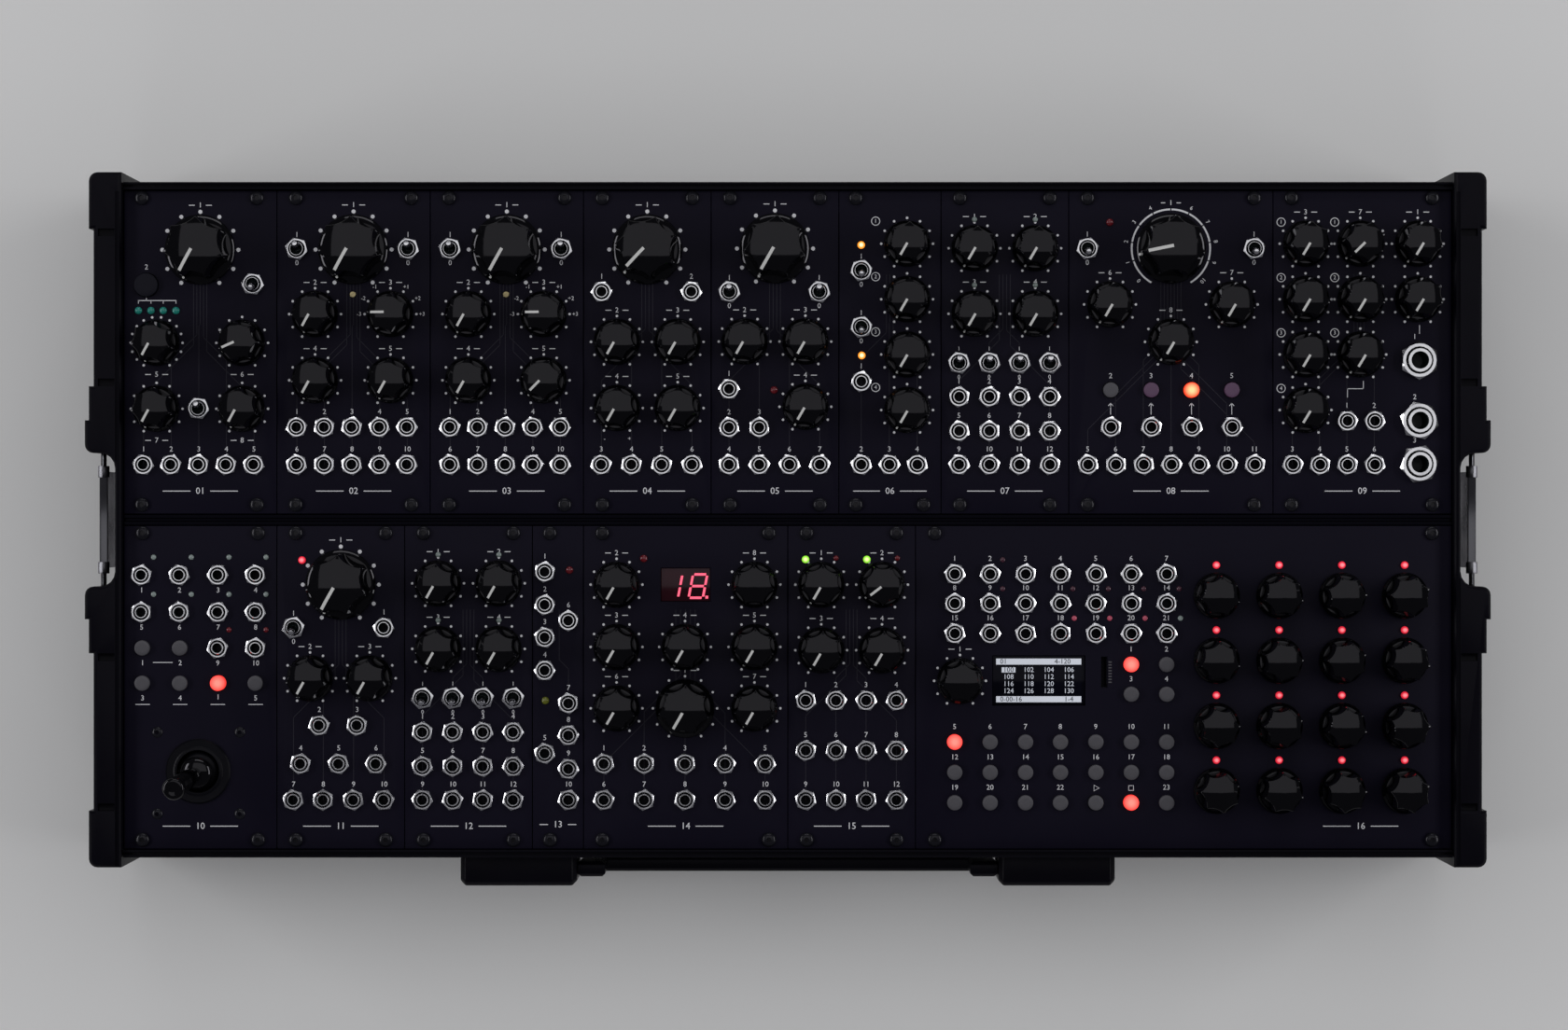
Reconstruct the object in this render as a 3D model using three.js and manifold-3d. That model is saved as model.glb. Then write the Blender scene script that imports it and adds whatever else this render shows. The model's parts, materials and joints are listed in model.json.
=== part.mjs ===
// A two-row modular synthesizer in the open lower half of its travel case.
// It lies on its back: the module panels face up (+Z) and the carrying handle faces the player (-Y).
// Every size is in millimetres.
import * as THREE from "three";
import { mergeVertices } from "three/addons/utils/BufferGeometryUtils.js";
import Module from "manifold-3d";

const wasm = await Module();
wasm.setup();

// Module format: panels are a whole number of pitch units wide and three rack units high
const modulePitch = 5.08;
const rowUnits = 104;
const panelHeight = 128.5;
const rowGap = 4.85;
const panelThickness = 2;
const panelPlay = 0.3;

// Gap left between pieces that rest on or in each other, and how far a cut or joint runs past a face
const seatGap = 0.3;
const overrun = 0.5;

// Case tray: a floor with a wall along each long side, and a groove in the rim for the lid's gasket
const footHeight = 3;
const floorThickness = 3;
const moduleRoom = 76;
const rimRise = 2.2;
const wallThickness = 3;
const gasketWidth = 1;
const gasketDepth = 1.2;
const wallRibWidth = 1.2;
const wallRibHeight = 6;

// End caps: moulded bumpers with bosses, grooves and a recess for the latch
const endWallThickness = 2.5;
const bumperDepth = 8.5;
const bossDepth = 10.4;
const guardDepth = 12;
const capOverhang = 3.8;
const capRise = 2.4;
const capEdge = 1.2;
const capRound = 3.4;
const cornerBossLength = 22.5;
const middleBossLength = 26.5;
const guardLength = 13;
const grooveWidth = 3;
const grooveDepth = 3;
const grooveLip = 1.9;
const recessLength = 53;
const recessFillet = 6;

// Rails: slotted profiles that the panels are screwed to
const railWidth = 8.6;
const railHeight = 10;
const slotWidth = 3.2;
const slotMouthDepth = 1.6;
const slotChamberWidth = 5.8;
const slotChamberDepth = 2.6;
const webGrooveWidth = 1.2;
const webGrooveDepth = 1.4;

// Carrying handle on the front wall
const bracketLength = 47;
const bracketDepth = 13.2;
const bracketHeight = 30;
const bracketEdge = 2;
const bracketSpan = 170;
const bracketLift = 34;
const handlePinRadius = 2.8;
const handlePinLength = 8;
const handleThickness = 6;
const handleBar = 11;
const handleDrop = 27;
const handleEdge = 1.2;
const handleCorner = 8;
const handlePivotDrop = 8;

// Draw latch in each end recess
const latchWidth = 43;
const latchThickness = 3;
const latchHeight = 34;
const latchDrop = 10;
const latchKnuckleRadius = 2.3;
const latchKnuckleLength = 4.6;
const latchPinRadius = 1.2;
const latchStandOff = 6.6;
const latchLipLength = 5;
const latchLipThickness = 2;

// Power board under the modules and its inlet in the back wall
const boardLength = 470;
const boardWidth = 190;
const boardThickness = 1.6;
const standoffHeight = 6;
const standoffRadius = 3;
const standoffInset = 12;
const headerLength = 22;
const headerWidth = 9;
const headerHeight = 8;
const headersPerRow = 6;
const supplyLength = 60;
const supplyWidth = 34;
const supplyHeight = 16;
const inletFlangeRadius = 6.5;
const inletFlangeThickness = 1.8;
const inletBarrelRadius = 4;
const inletBarrelLength = 14;
const inletBoreRadius = 2.9;
const inletBoreDepth = 9;
const inletNutRadius = 6.2;
const inletNutThickness = 2.4;
const inletHeight = 34;
const inletPlace = 236;

// What a module holds behind its panel: jack and pot bodies, a circuit board and its power header
const jackBodyWidth = 9;
const partsDepth = 10;
const circuitThickness = 1.6;
const circuitInset = 1.2;
const circuitClearance = 1.5;

// Patch sockets
const jackBoreRadius = 1.95;
const jackBoreDepth = 9;
const bigNutRadius = 8;
const bigNutHeight = 2.4;
const bigCollarRadius = 5.4;
const bigCollarHeight = 3.6;
const bigBoreRadius = 3.3;
const bigBoreDepth = 14;
const bigBodyWidth = 15;

// Knobs: a round skirt, a tapered body with seven scallops and a raised pointer
const lobes = 7;
const smallKnobRadius = 9.3;
const smallKnobHeight = 15.5;
const middleKnobRadius = 11.8;
const middleKnobHeight = 17;
const largeKnobRadius = 14.1;
const largeKnobHeight = 19;
const skirtHeight = 2.4;
const knobLift = 0.6;
const knobShaftRadius = 3;
const knobShaftLength = 1.7;
const knobBevel = 0.9;
const pointerWidth = 0.9;
const pointerRise = 0.25;
const waistTipShare = 0.97;
const waistValleyShare = 0.88;
const brimTipShare = 0.86;
const brimValleyShare = 0.7;
const faceTipShare = 0.8;
const faceValleyShare = 0.65;
const pointerLengthShare = 0.58;
const pointerReachShare = 0.78;

// Push buttons
const buttonRadius = 3.05;
const buttonRise = 1.6;
const buttonStem = 1.5;
const bankButtonRadius = 4.7;
const buttonTravelRoom = 1.6;
const switchBodyWidth = 9;
const switchBodyDepth = 3;

// Toggle switches
const toggleBoreRadius = 2.7;
const toggleBoreDepth = 4.2;
const toggleRootRadius = 1.3;
const toggleTipRadius = 1.45;
const toggleNeckRadius = 0.95;
const toggleReach = 9;
const toggleRoot = 1.4;
const togglePivotDepth = 1;
const toggleLean = THREE.MathUtils.degToRad(12);

// Joystick: a bezel and cup in the panel, a gimbal ring in the cup and the stick in the ring
const bezelRadius = 12.9;
const bezelRise = 1.5;
const cupRadius = 10;
const cupDepth = 10.5;
const cupWall = 3;
const gimbalRadius = 8.1;
const gimbalBoreRadius = 5.2;
const gimbalThickness = 4;
const gimbalDepth = 2.2;
const trunnionRadius = 0.85;
const trunnionBite = 1.3;
const stickBallRadius = 3.6;
const stickNeckRadius = 2.5;
const stickNeckHeight = 5;
const stickCoverRadius = 6.5;
const stickCoverRise = 2.8;
const stickCapRadius = 4.3;
const stickHeight = 41;
const stickEdge = 1.4;
const stickLeanFront = THREE.MathUtils.degToRad(6);
const stickLeanLeft = THREE.MathUtils.degToRad(5);

// Displays and the slot for a memory card
const digitWindowWidth = 19.9;
const digitWindowHeight = 13.5;
const screenWidth = 37;
const screenHeight = 20;
const windowDepth = 0.9;
const cardSlotLength = 12.4;
const cardSlotWidth = 2.6;

// Levels and reaches worked out from the sizes above
const floorTop = footHeight + floorThickness;
const panelTop = floorTop + moduleRoom;
const rimTop = panelTop + rimRise;
const capTop = rimTop + capRise;
const rowLength = rowUnits * modulePitch;
const rowPitch = panelHeight + rowGap;
const fieldHalf = (rowPitch + panelHeight) / 2;
const trayInner = fieldHalf + panelPlay;
const trayOuter = trayInner + wallThickness;
const trayLength = rowLength;
const capInner = rowLength / 2 + panelPlay;
const capHalf = trayOuter + capOverhang;
const handleReach = trayOuter + seatGap + bracketDepth;
const railTop = panelTop - panelThickness - seatGap;
const circuitHeight = panelHeight - 2 * (railWidth + circuitClearance);

// Materials
const blackPlastic = new THREE.MeshStandardMaterial({ color: 0x141418, roughness: 0.5 });
const blackPaint = new THREE.MeshStandardMaterial({ color: 0x17171c, roughness: 0.65, metalness: 0.2 });
const glossPlastic = new THREE.MeshStandardMaterial({ color: 0x08080a, roughness: 0.12 });
const railMetal = new THREE.MeshStandardMaterial({ color: 0x2a2a30, roughness: 0.45, metalness: 0.8 });
const nickel = new THREE.MeshStandardMaterial({ color: 0xc8c8cc, roughness: 0.2, metalness: 1 });
const greyCap = new THREE.MeshStandardMaterial({ color: 0x8c8c90, roughness: 0.5 });
const circuit = new THREE.MeshStandardMaterial({ color: 0x12301f, roughness: 0.6 });

// A geometry as a solid that can be joined and cut
function solidOf(geometry) {
  const bare = new THREE.BufferGeometry();
  const source = geometry.index ? geometry.toNonIndexed() : geometry;
  bare.setAttribute("position", source.getAttribute("position"));
  const merged = mergeVertices(bare);
  return new wasm.Manifold(
    new wasm.Mesh({
      numProp: 3,
      vertProperties: merged.attributes.position.array,
      triVerts: new Uint32Array(merged.index.array),
    }),
  );
}

function geometryOf(solid) {
  const mesh = solid.getMesh();
  const geometry = new THREE.BufferGeometry();
  geometry.setAttribute("position", new THREE.BufferAttribute(mesh.vertProperties, 3));
  geometry.setIndex(new THREE.BufferAttribute(mesh.triVerts, 1));
  return geometry;
}

// The added geometries as one body, less the cut ones
function joined(added, cut = []) {
  const whole = added.map(solidOf).reduce((a, b) => a.add(b));
  return geometryOf(cut.map(solidOf).reduce((a, b) => a.subtract(b), whole));
}

// A box that stands on the height z, centred on x and y
function block(width, depth, height, x, y, z) {
  return new THREE.BoxGeometry(width, depth, height).translate(x, y, z + height / 2);
}

// An upright prism or frustum that stands on the height z
function post(lowerRadius, upperRadius, height, sides, x, y, z) {
  const upright = new THREE.CylinderGeometry(upperRadius, lowerRadius, height, sides);
  return upright.rotateX(Math.PI / 2).translate(x, y, z + height / 2);
}

// An upright flat-sided hole that a round piece of this radius turns in
function bore(radius, depth, sides, x, y, z) {
  const corner = cornerRadius(radius, sides);
  return post(corner, corner, depth, sides, x, y, z);
}

// A round pin along X or along Y, centred on the origin
function pinAlongX(radius, length, sides) {
  return new THREE.CylinderGeometry(radius, radius, length, sides).rotateZ(Math.PI / 2);
}

function pinAlongY(radius, length, sides) {
  return new THREE.CylinderGeometry(radius, radius, length, sides);
}

// The corner radius of a flat-sided hole that a round piece of this radius fits in
function cornerRadius(radius, sides) {
  return radius / Math.cos(Math.PI / sides);
}

// A closed body through rings of as many points each, from the lowest ring up
function lofted(rings) {
  const count = rings[0].length;
  const points = rings.flat();
  const index = [];
  for (let level = 0; level + 1 < rings.length; level += 1) {
    for (let i = 0; i < count; i += 1) {
      const low = level * count + i;
      const lowNext = level * count + ((i + 1) % count);
      index.push(low, lowNext, lowNext + count, low, lowNext + count, low + count);
    }
  }
  const first = points.length;
  const middle = (ring) => ring.reduce((sum, p) => sum.add(p), new THREE.Vector3()).divideScalar(count);
  points.push(middle(rings[0]), middle(rings[rings.length - 1]));
  const topStart = (rings.length - 1) * count;
  for (let i = 0; i < count; i += 1) {
    const next = (i + 1) % count;
    index.push(first, next, i, first + 1, topStart + i, topStart + next);
  }
  return new THREE.BufferGeometry().setFromPoints(points).setIndex(index);
}

// A flat outline swept up from z by a height, with chamfered edges where an edge size is given
function swept(shape, height, edge = 0) {
  const geometry = new THREE.ExtrudeGeometry(shape, {
    depth: height - 2 * edge,
    bevelEnabled: edge > 0,
    bevelThickness: edge,
    bevelSize: edge,
    bevelOffset: -edge,
    bevelSegments: 1,
    curveSegments: 2,
  });
  return geometry.translate(0, 0, edge);
}

function named(name, geometry, material) {
  const mesh = new THREE.Mesh(geometry, material);
  mesh.name = name;
  return mesh;
}

// Knobs

// One level of a knob: a tip at each lobe and a valley between two tips
function knobRing(height, tipRadius, valleyRadius) {
  return Array.from({ length: 2 * lobes }, (_, i) => {
    const angle = Math.PI / 2 + (i * Math.PI) / lobes;
    const radius = i % 2 === 0 ? tipRadius : valleyRadius;
    return new THREE.Vector3(radius * Math.cos(angle), radius * Math.sin(angle), height);
  });
}

// A knob whose pointer aims along +Y, standing on z = 0, with its shaft below
function knobGeometry(radius, height, bevel) {
  const rings = [
    knobRing(0, radius, radius),
    knobRing(skirtHeight, radius, radius),
    knobRing(skirtHeight, radius * waistTipShare, radius * waistValleyShare),
    knobRing(height - bevel, radius * brimTipShare, radius * brimValleyShare),
  ];
  if (bevel > 0) {
    rings.push(knobRing(height, radius * faceTipShare, radius * faceValleyShare));
  }
  const body = lofted(rings);
  const shaft = post(knobShaftRadius, knobShaftRadius, knobShaftLength + overrun, 6, 0, 0, -knobShaftLength);
  const pointerLength = radius * pointerLengthShare;
  const pointerMiddle = radius * pointerReachShare - pointerLength / 2;
  const pointerHeight = pointerRise + overrun;
  const pointer = block(pointerWidth, pointerLength, pointerHeight, 0, pointerMiddle, height - overrun);
  return joined([body, shaft, pointer]);
}

// Patch sockets, switches and buttons: what each adds to its module and what it cuts from it

function jackAt(x, y) {
  return {
    added: [],
    cut: [bore(jackBoreRadius, jackBoreDepth + overrun, 6, x, y, -jackBoreDepth)],
  };
}

function bigJackAt(x, y) {
  const bodyDepth = panelThickness + partsDepth;
  return {
    added: [
      post(bigNutRadius, bigNutRadius, bigNutHeight + overrun, 6, x, y, -overrun),
      post(bigCollarRadius, bigCollarRadius, bigCollarHeight + overrun, 10, x, y, -overrun),
      block(bigBodyWidth, bigBodyWidth, bodyDepth, x, y, -bodyDepth - circuitThickness / 2),
    ],
    cut: [bore(bigBoreRadius, bigBoreDepth + overrun, 10, x, y, bigCollarHeight - bigBoreDepth)],
  };
}

function fixedKnobAt(x, y) {
  const upper = smallKnobRadius * faceTipShare;
  return {
    added: [post(smallKnobRadius, upper, smallKnobHeight + knobLift + overrun, lobes, x, y, -overrun)],
    cut: [],
  };
}

function fixedButtonAt(x, y) {
  return {
    added: [post(buttonRadius, buttonRadius, buttonRise + overrun, 6, x, y, -overrun)],
    cut: [],
  };
}

function fixedToggleAt(x, y, lean) {
  const lever = post(toggleNeckRadius, toggleTipRadius, toggleReach, 4, 0, 0, 0).rotateX(-lean * toggleLean);
  return { added: [lever.translate(x, y, -togglePivotDepth)], cut: [] };
}

function windowAt(width, height, depth) {
  return (x, y) => ({ added: [], cut: [block(width, height, depth + overrun, x, y, -depth)] });
}

// What a moving knob, button or toggle leaves in its module
function shaftHoleAt(x, y) {
  const depth = knobShaftLength - knobLift + seatGap;
  return { added: [], cut: [bore(knobShaftRadius + seatGap, depth + overrun, 6, x, y, -depth)] };
}

function buttonSeat(radius) {
  return (x, y) => {
    const depth = buttonStem + buttonTravelRoom;
    const bodyWidth = switchBodyWidth + 2 * (radius - buttonRadius);
    const bodyDepth = panelThickness + switchBodyDepth;
    return {
      added: [block(bodyWidth, bodyWidth, bodyDepth - overrun, x, y, -bodyDepth)],
      cut: [bore(radius + seatGap, depth + overrun, 8, x, y, -depth)],
    };
  };
}

function toggleSeatAt(x, y) {
  const bodyDepth = panelThickness + switchBodyDepth;
  return {
    added: [block(switchBodyWidth, switchBodyWidth, bodyDepth - overrun, x, y, -bodyDepth)],
    cut: [bore(toggleBoreRadius, toggleBoreDepth + overrun, 6, x, y, -toggleBoreDepth)],
  };
}

function joystickSeatAt(x, y) {
  const holeLength = 2 * (cupRadius + trunnionBite);
  return {
    added: [
      post(bezelRadius, bezelRadius - bezelRise, bezelRise + overrun, 16, x, y, -overrun),
      post(cupRadius + cupWall, cupRadius + cupWall, cupDepth + cupWall, 12, x, y, -cupDepth - cupWall),
    ],
    cut: [
      bore(cupRadius, cupDepth + bezelRise + overrun, 12, x, y, -cupDepth),
      pinAlongX(cornerRadius(trunnionRadius + seatGap, 6), holeLength, 6).translate(x, y, -gimbalDepth),
    ],
  };
}

// Moving pieces of a module, each modelled round its own axis

function buttonGeometry(radius) {
  return post(radius, radius, buttonRise + buttonStem, 8, 0, 0, -buttonStem);
}

function toggleGeometry() {
  const ring = (height, radius) => regularRing(height, radius, 6);
  return lofted([
    ring(-toggleRoot, toggleRootRadius),
    ring(0, toggleBoreRadius - seatGap),
    ring(toggleRoot, toggleNeckRadius),
    ring(toggleReach - toggleTipRadius, toggleTipRadius),
    ring(toggleReach, toggleNeckRadius),
  ]);
}

function regularRing(height, radius, sides) {
  return Array.from({ length: sides }, (_, i) => {
    const angle = (i * 2 * Math.PI) / sides;
    return new THREE.Vector3(radius * Math.cos(angle), radius * Math.sin(angle), height);
  });
}

// A ring on trunnions along X, with a hole on each side of Y for the stick's trunnions
function gimbalGeometry() {
  const ring = post(gimbalRadius, gimbalRadius, gimbalThickness, 12, 0, 0, -gimbalThickness / 2);
  const trunnions = pinAlongX(trunnionRadius, 2 * (cupRadius + trunnionBite - seatGap), 6);
  const cutDepth = gimbalThickness + 2 * overrun;
  const middle = bore(gimbalBoreRadius, cutDepth, 12, 0, 0, -cutDepth / 2);
  const holeLength = 2 * (gimbalBoreRadius + trunnionBite);
  const holes = pinAlongY(cornerRadius(trunnionRadius + seatGap, 6), holeLength, 6);
  return joined([ring, trunnions], [middle, holes]);
}

// Shares of the cover's radius and rise, from its rim upwards
const stickCoverShares = [
  [1, 0],
  [0.74, 0.6],
];

// The stick with its ball in the gimbal, a domed cover over the ring and a cap at the top
function stickGeometry() {
  const slope = Math.SQRT1_2 * stickBallRadius;
  const cover = stickCoverShares.map(([radiusShare, riseShare]) => [
    stickCoverRadius * radiusShare,
    stickNeckHeight + stickCoverRise * riseShare,
  ]);
  const profile = [
    [0, -stickBallRadius],
    [slope, -slope],
    [stickBallRadius, 0],
    [slope, slope],
    [stickNeckRadius, stickNeckHeight],
    ...cover,
    [stickNeckRadius, stickNeckHeight + stickCoverRise],
    [stickCapRadius, stickHeight - stickEdge],
    [stickCapRadius - stickEdge, stickHeight],
    [0, stickHeight],
  ].map(([radius, height]) => new THREE.Vector2(radius, height));
  const turned = new THREE.LatheGeometry(profile, 10).rotateX(Math.PI / 2);
  const trunnions = pinAlongY(trunnionRadius, 2 * (gimbalBoreRadius + trunnionBite - seatGap), 6);
  return joined([turned, trunnions]);
}

// Every kind of control: the mark it leaves in its module, and its own piece if it moves
const fixedKinds = {
  knob: fixedKnobAt,
  button: fixedButtonAt,
  toggle: fixedToggleAt,
  jack: jackAt,
  bigJack: bigJackAt,
  digits: windowAt(digitWindowWidth, digitWindowHeight, windowDepth),
  screen: windowAt(screenWidth, screenHeight, windowDepth),
  cardSlot: windowAt(cardSlotWidth, cardSlotLength, panelThickness + overrun),
};

const knobPiece = (radius, height, bevel) => () =>
  named("", knobGeometry(radius, height, bevel).translate(0, 0, knobLift), glossPlastic);

const movingKinds = {
  smallKnob: { seat: shaftHoleAt, piece: knobPiece(smallKnobRadius, smallKnobHeight, 0) },
  middleKnob: { seat: shaftHoleAt, piece: knobPiece(middleKnobRadius, middleKnobHeight, 0) },
  largeKnob: { seat: shaftHoleAt, piece: knobPiece(largeKnobRadius, largeKnobHeight, knobBevel) },
  button: { seat: buttonSeat(buttonRadius), piece: () => named("", buttonGeometry(buttonRadius), greyCap) },
  bankButton: {
    seat: buttonSeat(bankButtonRadius),
    piece: () => named("", buttonGeometry(bankButtonRadius), blackPlastic),
  },
  toggle: { seat: toggleSeatAt, piece: () => named("", toggleGeometry(), nickel) },
};

// Modules from left to right. Places are shares of the panel's width and height, from its lower left corner.
// A dial is the pointer's angle at rest in degrees, clockwise from straight up. A lean is 1 up and -1 down.
const lowestDial = -150;
const fiveAcrossShares = [0.13, 0.31, 0.49, 0.67, 0.85];
const fourAcrossShares = [0.14, 0.377, 0.613, 0.85];
const footShares = [0.152];
const twoKnobShares = [0.262, 0.738];
const fourRowShares = [0.836, 0.664, 0.493, 0.321];
const stepColumnShares = [0.561, 0.678, 0.795, 0.912];
const stepRowShares = [0.784, 0.583, 0.381, 0.18];
const sequencerColumnShares = [0.073, 0.139, 0.205, 0.27, 0.336, 0.402, 0.468];

const oscillator = (suffix) => ({
  name: `oscillator_${suffix}_module`,
  units: 12,
  fixed: [
    { kind: "toggle", acrossShares: [0.13, 0.855], upShares: [0.82], lean: 1 },
    { kind: "knob", acrossShares: [0.249, 0.741], upShares: [0.618, 0.413] },
    { kind: "jack", acrossShares: fiveAcrossShares, upShares: [0.268, ...footShares] },
  ],
  moving: [
    { kind: "largeKnob", name: `tune_knob_${suffix}`, acrossShare: 0.5, upShare: 0.818, dial: lowestDial },
  ],
});

const quadAmplifier = (suffix, lean) => ({
  name: `amplifier_${suffix}_module`,
  units: 10,
  fixed: [
    { kind: "knob", acrossShares: [twoKnobShares[1]], upShares: [0.822] },
    { kind: "knob", acrossShares: twoKnobShares, upShares: [0.619] },
    { kind: "toggle", acrossShares: fourAcrossShares, upShares: [0.467], lean },
    { kind: "jack", acrossShares: fourAcrossShares, upShares: [0.362, 0.256, ...footShares] },
  ],
  moving: [
    {
      kind: "smallKnob",
      name: `level_knob_${suffix}`,
      acrossShare: twoKnobShares[0],
      upShare: 0.822,
      dial: lowestDial,
    },
  ],
});

const upperRow = [
  {
    name: "wavetable_module",
    units: 12,
    fixed: [
      { kind: "knob", acrossShares: [0.215, 0.773], upShares: [0.529, 0.325] },
      { kind: "jack", acrossShares: fiveAcrossShares, upShares: footShares },
    ],
    moving: [
      { kind: "largeKnob", name: "frequency_knob", acrossShare: 0.5, upShare: 0.817, dial: lowestDial },
      { kind: "bankButton", name: "bank_button", acrossShare: 0.148, upShare: 0.708 },
      { kind: "toggle", name: "coarse_toggle", acrossShare: 0.843, upShare: 0.711, lean: -1 },
      { kind: "toggle", name: "sub_toggle", acrossShare: 0.488, upShare: 0.326, lean: 1 },
    ],
  },
  oscillator("a"),
  oscillator("b"),
  {
    name: "filter_module",
    units: 10,
    fixed: [
      { kind: "jack", acrossShares: [0.143, 0.845], upShares: [0.687] },
      { kind: "knob", acrossShares: twoKnobShares, upShares: [0.532, 0.327] },
      { kind: "jack", acrossShares: fourAcrossShares, upShares: footShares },
    ],
    moving: [
      { kind: "largeKnob", name: "cutoff_knob", acrossShare: 0.5, upShare: 0.818, dial: -136 },
    ],
  },
  {
    name: "gate_module",
    units: 10,
    fixed: [
      { kind: "toggle", acrossShares: [0.142, 0.846], upShares: [0.687], lean: 1 },
      { kind: "knob", acrossShares: twoKnobShares, upShares: [0.533] },
      { kind: "knob", acrossShares: [twoKnobShares[1]], upShares: [0.331] },
      { kind: "jack", acrossShares: [fourAcrossShares[0]], upShares: [0.386] },
      { kind: "jack", acrossShares: fourAcrossShares.slice(0, 2), upShares: [0.267] },
      { kind: "jack", acrossShares: fourAcrossShares, upShares: footShares },
    ],
    moving: [
      { kind: "largeKnob", name: "offset_knob", acrossShare: 0.5, upShare: 0.821, dial: lowestDial },
    ],
  },
  {
    name: "envelope_module",
    units: 8,
    fixed: [
      { kind: "toggle", acrossShares: [0.219], upShares: [0.753, 0.578], lean: -1 },
      { kind: "jack", acrossShares: [0.219], upShares: [0.409] },
      { kind: "jack", acrossShares: [0.219, 0.494, 0.766], upShares: footShares },
    ],
    moving: ["attack", "decay", "sustain", "release"].map((stage, i) => ({
      kind: "smallKnob",
      name: `${stage}_knob`,
      acrossShare: 0.668,
      upShare: fourRowShares[i],
      dial: lowestDial,
    })),
  },
  quadAmplifier("upper", 1),
  {
    name: "delay_module",
    units: 16,
    fixed: [
      { kind: "toggle", acrossShares: [0.091, 0.907], upShares: [0.821], lean: -1 },
      { kind: "knob", acrossShares: [0.202, 0.798], upShares: [0.648] },
      { kind: "knob", acrossShares: [0.5], upShares: [0.532] },
      { kind: "jack", acrossShares: [0.205, 0.403, 0.601, 0.798], upShares: [0.268] },
      { kind: "jack", acrossShares: [0.093, 0.229, 0.365, 0.501, 0.637, 0.773, 0.909], upShares: footShares },
    ],
    moving: [
      { kind: "largeKnob", name: "time_knob", acrossShare: 0.5, upShare: 0.821, dial: -101 },
      { kind: "button", name: "hold_button", acrossShare: 0.205, upShare: 0.383 },
      { kind: "button", name: "add_button", acrossShare: 0.403, upShare: 0.383 },
      { kind: "button", name: "reverse_button", acrossShare: 0.601, upShare: 0.383 },
      { kind: "button", name: "tap_button", acrossShare: 0.798, upShare: 0.383 },
    ],
  },
  {
    name: "output_module",
    units: 14,
    fixed: [
      { kind: "knob", acrossShares: [0.182], upShares: fourRowShares },
      { kind: "knob", acrossShares: [0.488], upShares: fourRowShares.slice(0, 3) },
      { kind: "jack", acrossShares: [0.413, 0.566], upShares: [0.287] },
      { kind: "jack", acrossShares: [0.108, 0.26, 0.413, 0.566], upShares: footShares },
      { kind: "bigJack", acrossShares: [0.815], upShares: [0.475, 0.288, 0.154] },
    ],
    moving: [
      {
        kind: "smallKnob",
        name: "master_knob",
        acrossShare: 0.809,
        upShare: fourRowShares[0],
        dial: lowestDial,
      },
      {
        kind: "smallKnob",
        name: "phones_knob",
        acrossShare: 0.809,
        upShare: fourRowShares[1],
        dial: lowestDial,
      },
    ],
  },
];

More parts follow.
